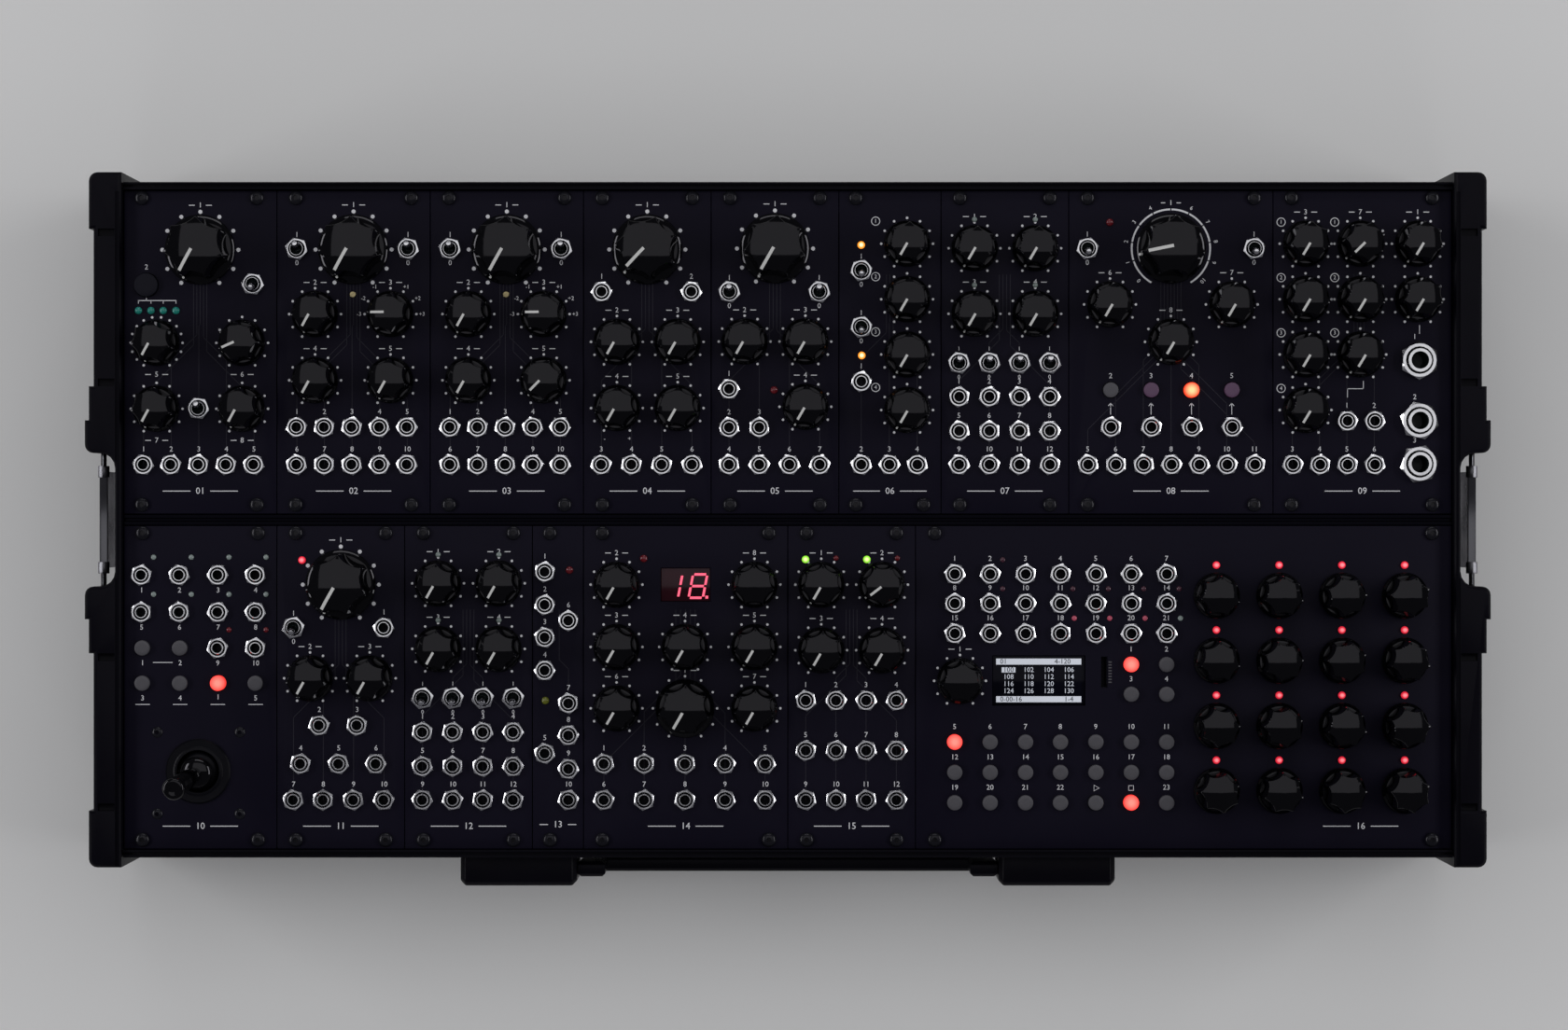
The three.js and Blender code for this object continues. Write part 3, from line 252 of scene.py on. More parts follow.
def worn_surface_group():
    tree = bpy.data.node_groups.new("worn_surface", "ShaderNodeTree")
    sockets = [("Colour", "NodeSocketColor", (0.1, 0.1, 0.1, 1)),
               ("Patch colour", "NodeSocketColor", (0.2, 0.2, 0.2, 1)),
               ("Patch scale", "NodeSocketFloat", 30.0),
               ("Grain scale", "NodeSocketFloat", 2500.0),
               ("Smoothest", "NodeSocketFloat", 0.3),
               ("Roughest", "NodeSocketFloat", 0.5),
               ("Relief", "NodeSocketFloat", 0.3)]
    for name, kind, value in sockets:
        tree.interface.new_socket(name=name, in_out="INPUT", socket_type=kind).default_value = value
    for name, kind in [("Colour", "NodeSocketColor"), ("Roughness", "NodeSocketFloat"),
                       ("Normal", "NodeSocketVector")]:
        tree.interface.new_socket(name=name, in_out="OUTPUT", socket_type=kind)
    given = node(tree, "NodeGroupInput")
    result = node(tree, "NodeGroupOutput")
    where = node(tree, "ShaderNodeTexCoord")
    patches = node(tree, "ShaderNodeTexNoise")
    grain = node(tree, "ShaderNodeTexNoise")
    blend = node(tree, "ShaderNodeMix", data_type="RGBA")
    gloss = node(tree, "ShaderNodeMapRange")
    lift = node(tree, "ShaderNodeBump")
    lift.inputs["Distance"].default_value = 0.00008
    patches.inputs["Detail"].default_value = 6
    link = tree.links.new
    for texture, scale in ((patches, "Patch scale"), (grain, "Grain scale")):
        link(where.outputs["Object"], texture.inputs["Vector"])
        link(given.outputs[scale], texture.inputs["Scale"])
    link(patches.outputs["Fac"], blend.inputs["Factor"])
    link(given.outputs["Colour"], blend.inputs["A"])
    link(given.outputs["Patch colour"], blend.inputs["B"])
    link(patches.outputs["Fac"], gloss.inputs["Value"])
    link(given.outputs["Smoothest"], gloss.inputs["To Min"])
    link(given.outputs["Roughest"], gloss.inputs["To Max"])
    gloss.inputs["From Min"].default_value = 0.3
    gloss.inputs["From Max"].default_value = 0.7
    link(grain.outputs["Fac"], lift.inputs["Height"])
    link(given.outputs["Relief"], lift.inputs["Strength"])
    link(blend.outputs["Result"], result.inputs["Colour"])
    link(gloss.outputs["Result"], result.inputs["Roughness"])
    link(lift.outputs["Normal"], result.inputs["Normal"])
    return tree


worn_surface = worn_surface_group()
print("shared group:", worn_surface.name)

# %% [markdown]
# Each material places that group and feeds its Principled shader from it.
# Values that are the same all over, such as Metallic, are set on the shader's own sockets.

# %% Materials from the shared group
def finish(name, colour, patch, grain=2500.0, patch_scale=30.0, gloss=(0.3, 0.5), relief=0.3,
           metallic=0.0, specular=0.5):
    material = bpy.data.materials.new(name)
    material.use_nodes = True
    tree = material.node_tree
    shader = tree.nodes["Principled BSDF"]
    surface = node(tree, "ShaderNodeGroup", node_tree=worn_surface)
    surface.inputs["Colour"].default_value = (*colour, 1)
    surface.inputs["Patch colour"].default_value = (*patch, 1)
    surface.inputs["Patch scale"].default_value = patch_scale
    surface.inputs["Grain scale"].default_value = grain
    surface.inputs["Smoothest"].default_value = gloss[0]
    surface.inputs["Roughest"].default_value = gloss[1]
    surface.inputs["Relief"].default_value = relief
    tree.links.new(surface.outputs["Colour"], shader.inputs["Base Color"])
    tree.links.new(surface.outputs["Roughness"], shader.inputs["Roughness"])
    tree.links.new(surface.outputs["Normal"], shader.inputs["Normal"])
    shader.inputs["Metallic"].default_value = metallic
    shader.inputs["Specular IOR Level"].default_value = specular
    shader.inputs["Specular Tint"].default_value = (0.94, 0.92, 1, 1)
    return material


panel_paint = finish("panel_paint", (0.0034, 0.0028, 0.0076), (0.0056, 0.0047, 0.0112), grain=5000,
                     patch_scale=18, gloss=(0.42, 0.55), relief=0.12, specular=0.07)
knob_gloss = finish("knob_gloss", (0.001, 0.001, 0.0014), (0.0018, 0.0018, 0.0023), grain=900,
                    patch_scale=60, gloss=(0.04, 0.08), relief=0.01, specular=0.24)
pointer_white = finish("pointer_white", (0.6, 0.6, 0.59), (0.5, 0.5, 0.49), grain=4000,
                       gloss=(0.35, 0.5), relief=0.05)
legend_white = finish("legend_white", (0.7, 0.7, 0.73), (0.58, 0.58, 0.61), grain=6000,
                      patch_scale=90, gloss=(0.5, 0.65), relief=0.08)
trace_grey = finish("trace_grey", (0.019, 0.018, 0.025), (0.028, 0.027, 0.036), grain=6000,
                    patch_scale=50, gloss=(0.5, 0.6), relief=0.1, specular=0.1)
bright_nickel = finish("bright_nickel", (0.74, 0.74, 0.76), (0.56, 0.56, 0.6), grain=3000,
                       patch_scale=220, gloss=(0.12, 0.26), relief=0.05, metallic=1)
# Near-black painted shade for the inside of a bush, below its mouth.
socket_dark = finish("socket_dark", (0.004, 0.006, 0.006), (0.008, 0.016, 0.016), grain=3000,
                     patch_scale=400, gloss=(0.4, 0.6), relief=0.1)
screw_black = finish("screw_black", (0.005, 0.005, 0.007), (0.009, 0.009, 0.012), grain=2000,
                     patch_scale=250, gloss=(0.16, 0.26), relief=0.04, specular=0.18)
moulded_black = finish("moulded_black", (0.002, 0.0018, 0.0034), (0.0036, 0.0033, 0.0056), grain=1400,
                       patch_scale=14, gloss=(0.22, 0.36), relief=0.3, specular=0.055)
skin_black = finish("skin_black", (0.0015, 0.0014, 0.0027), (0.0028, 0.0026, 0.0044), grain=700,
                    patch_scale=10, gloss=(0.3, 0.5), relief=0.6, specular=0.05)
bezel_black = finish("bezel_black", (0.0016, 0.0016, 0.0026), (0.003, 0.003, 0.0044), grain=2400,
                     patch_scale=50, gloss=(0.25, 0.4), relief=0.08, specular=0.1)
latch_steel = finish("latch_steel", (0.07, 0.07, 0.078), (0.11, 0.11, 0.12), grain=2600,
                     patch_scale=60, gloss=(0.16, 0.3), relief=0.05, metallic=0.9)
trimmer_brass = finish("trimmer_brass", (0.34, 0.29, 0.16), (0.22, 0.18, 0.1), grain=2600,
                       patch_scale=300, gloss=(0.2, 0.35), relief=0.05, metallic=1)
dark_anodised = finish("dark_anodised", (0.0026, 0.0025, 0.0042), (0.0042, 0.004, 0.0064), grain=2600,
                       patch_scale=45, gloss=(0.22, 0.36), relief=0.06, metallic=1)
board_green = finish("board_green", (0.008, 0.05, 0.022), (0.012, 0.08, 0.036), grain=1500,
                     patch_scale=60, gloss=(0.3, 0.45), relief=0.15)
button_grey = finish("button_grey", (0.045, 0.044, 0.05), (0.06, 0.058, 0.066), grain=2600,
                     patch_scale=150, gloss=(0.35, 0.5), relief=0.1)
button_mauve = finish("button_mauve", (0.07, 0.032, 0.07), (0.095, 0.045, 0.095), grain=2600,
                      patch_scale=150, gloss=(0.35, 0.5), relief=0.1)
button_black = finish("button_black", (0.007, 0.007, 0.011), (0.011, 0.011, 0.016), grain=2000,
                      patch_scale=80, gloss=(0.3, 0.42), relief=0.1, specular=0.06)
screen_glass = finish("screen_glass", (0.0016, 0.0016, 0.004), (0.003, 0.003, 0.0065), grain=500,
                      patch_scale=60, gloss=(0.06, 0.12), relief=0.01, specular=0.06)
window_red = finish("window_red", (0.02, 0.003, 0.006), (0.03, 0.004, 0.008), grain=500,
                    patch_scale=60, gloss=(0.1, 0.18), relief=0.01, specular=0.2)
print("materials:", len(bpy.data.materials))

# %% [markdown]
# A lamp that is off is clear or tinted plastic. The lamps differ only in their two colours, so a
# table holds the colours and a loop makes the materials.

# %% Lamps that are off
UNLIT_COLOURS = {
    "red_off": ((0.09, 0.004, 0.008), (0.14, 0.008, 0.012)),
    "teal": ((0.01, 0.16, 0.13), (0.015, 0.24, 0.2)),
    "olive": ((0.09, 0.1, 0.01), (0.14, 0.15, 0.015)),
    "pink": ((0.35, 0.05, 0.09), (0.5, 0.09, 0.14)),
    "dark": ((0.04, 0.012, 0.022), (0.06, 0.018, 0.03)),
    "clear": ((0.16, 0.2, 0.19), (0.24, 0.28, 0.27)),
}
LAMPS = {}
for colour, (tint, patch) in UNLIT_COLOURS.items():
    lamp_gloss = (0.08, 0.16) if colour == "clear" else (0.1, 0.2)
    LAMPS[colour] = finish("lamp_" + colour, tint, patch, grain=1500, patch_scale=300,
                           gloss=lamp_gloss, relief=0.05)
print("unlit lamps:", list(LAMPS))

# %% [markdown]
# A lit lamp is hottest over its chip and saturated at its rim. Each lamp mesh stores how far a
# point lies from its middle, as an attribute, and a colour ramp turns that distance into light.

# %% Glowing materials
def glow(name, core, rim, strength, edge=0.75):
    material = bpy.data.materials.new(name)
    material.use_nodes = True
    tree = material.node_tree
    shader = tree.nodes["Principled BSDF"]
    reach = node(tree, "ShaderNodeAttribute", attribute_name="reach")
    ramp = node(tree, "ShaderNodeValToRGB")
    ramp.color_ramp.elements[0].color = (*core, 1)
    ramp.color_ramp.elements[0].position = 0.25
    ramp.color_ramp.elements[1].color = (*rim, 1)
    ramp.color_ramp.elements[1].position = edge
    tree.links.new(reach.outputs["Fac"], ramp.inputs["Fac"])
    tree.links.new(ramp.outputs["Color"], shader.inputs["Emission Color"])
    tree.links.new(ramp.outputs["Color"], shader.inputs["Base Color"])
    shader.inputs["Emission Strength"].default_value = strength
    shader.inputs["Roughness"].default_value = 0.35
    return material


button_lit = glow("button_lit", (1.0, 0.19, 0.15), (1.0, 0.05, 0.04), 1.0, edge=0.98)
button_hot = glow("button_hot", (1.0, 0.46, 0.2), (1.0, 0.06, 0.02), 1.05, edge=0.95)
LAMPS["red"] = glow("lamp_red", (1.0, 0.22, 0.25), (0.6, 0.015, 0.035), 0.9)
LAMPS["amber"] = glow("lamp_amber", (1.0, 0.86, 0.5), (1.0, 0.3, 0.02), 1.1)
LAMPS["green"] = glow("lamp_green", (0.72, 1.0, 0.32), (0.22, 0.6, 0.03), 1.0)
segment_red = glow("segment_red", (1.0, 0.11, 0.19), (1.0, 0.11, 0.19), 1.0)
pixel_white = glow("pixel_white", (0.4, 0.42, 0.47), (0.4, 0.42, 0.47), 0.65)
CAPS = {"grey": button_grey, "lit": button_lit}
print("lamp colours:", len(LAMPS))


def with_reach(piece, radius):
    field = piece.data.attributes.new("reach", "FLOAT", "POINT")
    field.data.foreach_set("value", [min(1, v.co.xy.length / radius) for v in piece.data.vertices])
    return piece


# %% [markdown]
# A knob is a round skirt with a tapering body. Seven shallow scallops are milled down its side and
# leave seven ridges, and the top is slightly domed, so it mirrors the studio light with a soft edge.
# Skirt and body are turned on their profiles, the dome is a run of ever narrower rings that rise,
# and the scallops are cut by leaning cylinders.

# %% Modelling a knob
LOBES = 7
SKIRT_HEIGHT = 2.4 * mm
SKIRT_FOOT = 0.7 * mm
SLOPE_SHARE = 0.86
WAIST_SHARE = 0.89
BRIM_SHARE = 0.87
SCALLOP_SHARE = 0.86
SCALLOP_TOP_SHARE = 1.555
SCALLOP_FOOT_SHARE = 1.64
DOME_STEPS = 6
TIP_SHARE = 0.04
KNOB_SEAT = 1.7 * mm
KNOB_LIFT = 0.6 * mm
TOP_PLAY = 0.25 * mm


def round_dome(radius, height, rise, steps):
    angles = [i / steps * math.pi / 2 for i in range(1, steps)]
    rings = [(radius * math.cos(a), height + rise * math.sin(a)) for a in angles]
    return rings + [(TIP_SHARE * radius, height + rise)]


def shallow_dome(radius, height, rise, steps):
    shares = [1 - i / steps for i in range(1, steps)]
    rings = [(radius * share, height + rise * (1 - share ** 2)) for share in shares]
    return rings + [(TIP_SHARE * radius, height + rise)]


def scallop_cutter(radius, height, index):
    foot = SKIRT_HEIGHT
    lean = math.atan2((SCALLOP_FOOT_SHARE - SCALLOP_TOP_SHARE) * radius, height - foot)
    cutter = prism(SCALLOP_SHARE * radius, -2 * height, 2 * height, 64)
    turn = (index + 0.5) * 2 * math.pi / LOBES
    shift = Matrix.Translation((SCALLOP_TOP_SHARE * radius, 0, height)) @ Matrix.Rotation(-lean, 4, "Y")
    cutter.data.transform(Matrix.Rotation(turn + math.pi / 2, 4, "Z") @ shift)
    return cutter


def knob_body(radius, height, rise):
    waist = WAIST_SHARE * radius
    brim = BRIM_SHARE * radius
    edge = 0.35 * mm
    top = height - rise
    body = turned([(0.9 * waist, 0.4 * mm), (waist, SKIRT_HEIGHT - 0.3 * mm),
                   ((waist + 3 * brim) / 4, top - 0.3 * (top - SKIRT_HEIGHT)), (brim, top - edge),
                   (brim - 0.7 * edge, top - 0.1 * edge)]
                  + shallow_dome(brim - 0.7 * edge, top, rise, DOME_STEPS), 70)
    for index in range(LOBES):
        cut(body, scallop_cutter(radius, height, index))
    foot = prism(2 * radius, -height, SKIRT_HEIGHT - 0.1 * mm, 12)
    cut(body, foot)
    cleaned(body, merge=0.05 * mm)
    rounded(body, 0.16 * mm, 1, angle=24, clamped=False)
    return cleaned(body)


def knob_skirt(radius):
    return turned([(radius - 0.25 * mm, 0), (radius, 0.25 * mm), (radius, SKIRT_FOOT),
                   (radius - 0.1 * mm, SKIRT_FOOT + 0.25 * mm), (radius - 0.3 * mm, SKIRT_FOOT + 0.4 * mm),
                   (SLOPE_SHARE * radius, SKIRT_HEIGHT - 0.1 * mm), (0.5 * radius, SKIRT_HEIGHT)], 64)


def skirt_dot(radius, width):
    low = Vector((radius - 0.3 * mm, SKIRT_FOOT + 0.4 * mm))
    high = Vector((SLOPE_SHARE * radius, SKIRT_HEIGHT - 0.1 * mm))
    slope = math.atan2(high.y - low.y, low.x - high.x)
    middle = (low + high) / 2
    dot = turned([(0.45 * width, -0.5 * mm), (0.45 * width, 0.03 * mm)], 12)
    dot.data.transform(placed(0, middle.x, middle.y, tilt=-slope))
    return dressed(dot, pointer_white)


def knob_shaft():
    return turned(in_mm((2.8, -1.6), (3, -1.5), (3, 0.2)), 20)


def strip_on(body, width, start, end, height):
    bpy.ops.object.select_all(action="DESELECT")
    bpy.ops.mesh.primitive_plane_add(size=1, location=(0, (start + end) / 2, height))
    bpy.context.object.scale = (width, end - start, 1)
    strip = settled(bpy.context.object)
    pick_faces(strip, lambda face: True)
    bpy.ops.mesh.subdivide(number_cuts=6)
    leave_edit()
    apply_modifier(strip, "SHRINKWRAP", target=body, wrap_method="PROJECT", use_project_z=True,
                   use_negative_direction=True, use_positive_direction=False, offset=0.03 * mm)
    apply_modifier(strip, "SOLIDIFY", thickness=0.2 * mm, offset=-1)
    return cleaned(strip)


def knob(name, radius, height, rise, pointer=None):
    body = dressed(knob_body(radius, height, rise), knob_gloss)
    parts = [body, dressed(knob_skirt(radius), knob_gloss), dressed(knob_shaft(), knob_gloss)]
    if pointer:
        start, end, width = pointer
        line = strip_on(body, width, start * radius, end * radius, height + 2 * mm)
        parts.append(dressed(line, pointer_white))
        parts.append(skirt_dot(radius, width))
    return gathered(name, parts)


def knob_size(node_name):
    low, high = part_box(node_name)
    return (high.x - low.x) / 2, (high.z - low.z) - KNOB_SEAT - TOP_PLAY


SMALL_RADIUS, SMALL_HEIGHT = knob_size("attack_knob")
MIDDLE_RADIUS, MIDDLE_HEIGHT = knob_size("blend_knob")
LARGE_RADIUS, LARGE_HEIGHT = knob_size("tune_knob_a")
SMALL_RISE = 1.35 * mm
MIDDLE_RISE = 1.7 * mm
LARGE_RISE = 2 * mm
small_knob = knob("small_knob_pattern", SMALL_RADIUS, SMALL_HEIGHT, SMALL_RISE, (0.1, 0.69, 0.95 * mm))
plain_knob = knob("plain_knob_pattern", SMALL_RADIUS, SMALL_HEIGHT, SMALL_RISE)
middle_knob = knob("middle_knob_pattern", MIDDLE_RADIUS, MIDDLE_HEIGHT, MIDDLE_RISE, (0.09, 0.72, 1.1 * mm))
large_knob = knob("large_knob_pattern", LARGE_RADIUS, LARGE_HEIGHT, LARGE_RISE, (0.07, 0.78, 1.25 * mm))
for pattern in (small_knob, middle_knob, large_knob):
    print(pattern.name, "faces:", len(pattern.data.polygons),
          "height:", round(max(v.co.z for v in pattern.data.vertices) / mm, 2))

# %% [markdown]
# A patch socket shows its nickel nut and the threaded bush that the nut holds. A nut is a hexagonal
# prism whose corners were turned off on a lathe, so a cone and a prism share their common space.
# The bush is turned with its bore, which is deep. Below its mouth the bore is painted near-black, as painted
# shade.

# %% Modelling sockets
def nut(across_corners, height, hole, chamfer):
    corner = across_corners / 2
    flats = corner * math.cos(math.pi / 6)
    hexagon = prism(corner, 0, height, 6)
    crown = turned([(corner + 0.1 * mm, -0.1 * mm), (corner + 0.1 * mm, height - 1.1 * chamfer),
                    (flats - 0.1 * mm, height), (0.5 * corner, height + 0.01 * mm)], 24)
    shared_with(hexagon, crown)
    cut(hexagon, prism(hole, -mm, height + mm, 20))
    return cleaned(hexagon, smooth_angle=25)


def bush(outer, inner, top, depth):
    lip = 0.25 * mm
    return turned([(outer, -depth), (outer, top - lip), (outer - lip, top), (inner + 0.5 * lip, top),
                   (inner, top - lip), (inner, 0.4 * mm - depth)], 20)


def nickel_with_dark(piece, in_painted_shade):
    # The picked faces get the near-black painted shade; the others stay nickel.
    dressed(piece, bright_nickel, socket_dark)
    for face in piece.data.polygons:
        face.material_index = 1 if in_painted_shade(face.center) else 0
    return piece


def socket(name, across_corners, nut_height, bush_radius, bore, bush_top, depth, chamfer):
    hexagon = dressed(nut(across_corners, nut_height, bush_radius + 0.6 * mm, chamfer), bright_nickel)
    # The bore below its mouth is painted near-black as shade.
    barrel = nickel_with_dark(bush(bush_radius, bore, bush_top, depth),
                              lambda at: at.xy.length < bore + 0.05 * mm and at.z < bush_top - 0.8 * mm)
    return gathered(name, [hexagon, barrel])


small_socket = socket("small_socket_pattern", across_corners=8.7 * mm, nut_height=1.6 * mm,
                      bush_radius=2.55 * mm, bore=1.9 * mm, bush_top=2.1 * mm, depth=9 * mm,
                      chamfer=0.4 * mm)
large_socket = socket("large_socket_pattern", across_corners=15.6 * mm, nut_height=2.4 * mm,
                      bush_radius=4.9 * mm, bore=3.4 * mm, bush_top=3.6 * mm, depth=11 * mm,
                      chamfer=0.9 * mm)
print("socket faces:", len(small_socket.data.polygons), len(large_socket.data.polygons))

# %% [markdown]
# A toggle switch has the same kind of nut, a bush with a wide mouth and a small bat lever that
# leans twelve degrees. The lever is its own shape, because two of them move on their own joint.
# The lever's nickel foot, down inside the bush, and the bush's bore are painted near-black as shade.

# %% Modelling toggles
TOGGLE_LEAN = 12 * degree
TOGGLE_PIVOT = -1 * mm


def toggle_lever():
    lever = turned(in_mm((1, -1.4), (2.2, -0.5), (2.4, 0), (2.2, 0.5), (1.25, 1.3), (0.95, 2.2), (1.15, 5.4),
                         (1.45, 7.4), (1.4, 8.3), (1, 8.85), (0.3, 9)), 16)
    # The lever's foot, down inside the bush, is painted near-black as shade instead of mirroring the light.
    return nickel_with_dark(lever, lambda at: at.z < 1.2 * mm)


def toggle_collar():
    hexagon = dressed(nut(9.1 * mm, 1.5 * mm, 3.4 * mm, 0.3 * mm), bright_nickel)
    # The bush's bore below its mouth is painted near-black as shade.
    barrel = nickel_with_dark(bush(2.85 * mm, 2.35 * mm, 2.3 * mm, 4.4 * mm),
                              lambda at: at.xy.length < 2.4 * mm and at.z < 1.8 * mm)
    return gathered("toggle_collar_pattern", [hexagon, barrel])


lever_pattern = toggle_lever()
lever_pattern.name = "toggle_lever_pattern"
toggle_pattern = toggle_collar()
print("toggle faces:", len(toggle_pattern.data.polygons), len(lever_pattern.data.polygons))

# %% [markdown]
# Buttons are satin caps with a soft edge, lamps are small moulded domes, and the panel screws are
# black button heads with a hexagonal socket. The socket is cut into the dome as on the real screw.

# %% Modelling buttons, lamps and screws
def button_cap(radius, rise, stem):
    edge = 0.3 * mm
    cap = turned([(radius, -stem), (radius, rise - edge), (radius - 0.4 * edge, rise - 0.25 * edge),
                  (radius - edge, rise), (0.55 * radius, rise + 0.02 * mm),
                  (0.25 * radius, rise + 0.03 * mm)], 28)
    return with_reach(cap, radius)


def lamp_dome(radius, rise):
    dome = turned([(radius, -0.8 * mm), (radius, 0.2 * mm)] + round_dome(radius, 0.2 * mm, rise, 4), 14)
    return with_reach(dome, radius)


def screw_head():
    dome = round_dome(2.85 * mm, 0.3 * mm, 1.35 * mm, 6)
    head = turned(in_mm((2.75, 0), (2.85, 0.3)) + dome, 24)
    cut(head, prism(1.15 * mm, 0.6 * mm, 3 * mm, 6))
    return dressed(cleaned(head), screw_black)


def trimmer_screw():
    head = turned(in_mm((1.3, -0.5), (1.3, 0.25), (1.1, 0.45), (0.4, 0.5)), 18)
    cut(head, block((3 * mm, 0.35 * mm, 0.8 * mm), (0, 0, 0.55 * mm)))
    return dressed(cleaned(head), trimmer_brass)


button_low, button_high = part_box("hold_button")
bank_low, bank_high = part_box("bank_button")
BUTTON_RADIUS = (button_high.x - button_low.x) / 2
BANK_RADIUS = (bank_high.x - bank_low.x) / 2
BUTTON_RISE = button_high.z - panel_top
BUTTON_STEM = panel_top - button_low.z
cap_pattern = button_cap(BUTTON_RADIUS, BUTTON_RISE, BUTTON_STEM)
bank_cap_pattern = button_cap(BANK_RADIUS, BUTTON_RISE, BUTTON_STEM)
lamp_pattern = lamp_dome(1.5 * mm, 0.9 * mm)
tiny_lamp_pattern = lamp_dome(1.05 * mm, 0.5 * mm)
screw_pattern = screw_head()
trimmer_pattern = trimmer_screw()
print("cap faces:", len(cap_pattern.data.polygons), "screw faces:", len(screw_pattern.data.polygons))

# %% [markdown]
# The print on the panels is thin: scale dots round each knob, plain numbers in place of words, and
# short rules. A number is a text object that is made a mesh once, and then copied to its places.

# %% Modelling the print
PRINT_LIFT = 0.04 * mm
PRINT_DEPTH = 0.06 * mm
number_patterns = {}


def number_pattern(text, height):
    key = (text, round(height / mm, 2))
    if key not in number_patterns:
        bpy.ops.object.select_all(action="DESELECT")
        bpy.ops.object.text_add()
        letters = bpy.context.object
        letters.data.body = text
        letters.data.size = height / 0.7
        letters.data.extrude = PRINT_DEPTH / 2
        letters.data.resolution_u = 2
        letters.data.align_x = "CENTER"
        letters.data.align_y = "CENTER"
        bpy.ops.object.convert(target="MESH")
        number_patterns[key] = dressed(cleaned(bpy.context.object), legend_white)
    return number_patterns[key]


def dot_pattern(radius):
    dot = prism(radius, -PRINT_DEPTH / 2, PRINT_DEPTH / 2, 10)
    return dressed(dot, legend_white)


small_dot = dot_pattern(0.52 * mm)
large_dot = dot_pattern(0.82 * mm)


def ring_pattern(radius, width, sides=28):
    ring = prism(radius + width / 2, -PRINT_DEPTH / 2, PRINT_DEPTH / 2, sides)
    cut(ring, prism(radius - width / 2, -mm, mm, sides))
    return dressed(cleaned(ring), legend_white)


number_ring = ring_pattern(1.65 * mm, 0.3 * mm)
print("print level:", round(PRINT_LIFT / mm, 3), "mm above the panels")

# %% [markdown]
# The modules differ only in what sits where. Each control has its place as a share of the panel's
# width, from the left, and of its height, from the bottom, in the order in which a player reads it.

# %% Where the controls are
LOWEST = -150
FOOT = (0.152,)
FIVE = (0.13, 0.31, 0.49, 0.67, 0.85)
FOUR = (0.14, 0.377, 0.613, 0.85)
PAIR = (0.262, 0.738)
STEPS_ACROSS = (0.561, 0.678, 0.795, 0.912)
STEPS_UP = (0.784, 0.583, 0.381, 0.18)
COLUMNS = (0.073, 0.139, 0.205, 0.27, 0.336, 0.402, 0.468)
DELAY_COLUMNS = (0.205, 0.403, 0.601, 0.798)
EFFECT_COLUMNS = (0.162, 0.497, 0.837)
JOYSTICK_COLUMNS = (0.123, 0.368, 0.614, 0.861)
LAMP_COLUMNS = (0.096, 0.178, 0.258, 0.341)
ROWS_OF_KNOBS = (0.836, 0.664, 0.493, 0.321)
SCREW_ROWS = (0.978, 0.028)
TITLE = (0.5, 0.07)


def grid(across, up):
    return [(x, y) for y in up for x in across]


def oscillator(shape_dial):
    return {
        "knobs": [(0.249, 0.618, LOWEST), (0.741, 0.618, -90), (0.249, 0.413, LOWEST),
                  (0.741, 0.413, shape_dial)],
        "toggles": [(0.13, 0.82, 1), (0.855, 0.82, 1)],
        "sockets": grid(FIVE, (0.268, 0.152)),
        "trimmer": (0.495, 0.679),
        "steps": [(0.741, 0.618)],
    }


def quad_amplifier(lean):
    return {
        "knobs": [(0.738, 0.822, LOWEST), (0.262, 0.619, LOWEST), (0.738, 0.619, LOWEST)],
        "toggles": [(x, 0.467, lean) for x in FOUR],
        "sockets": grid(FOUR, (0.362, 0.256, 0.152)),
        "tiny": [(x, y, "clear") for x, y in grid(PAIR, (0.911, 0.708))],
    }


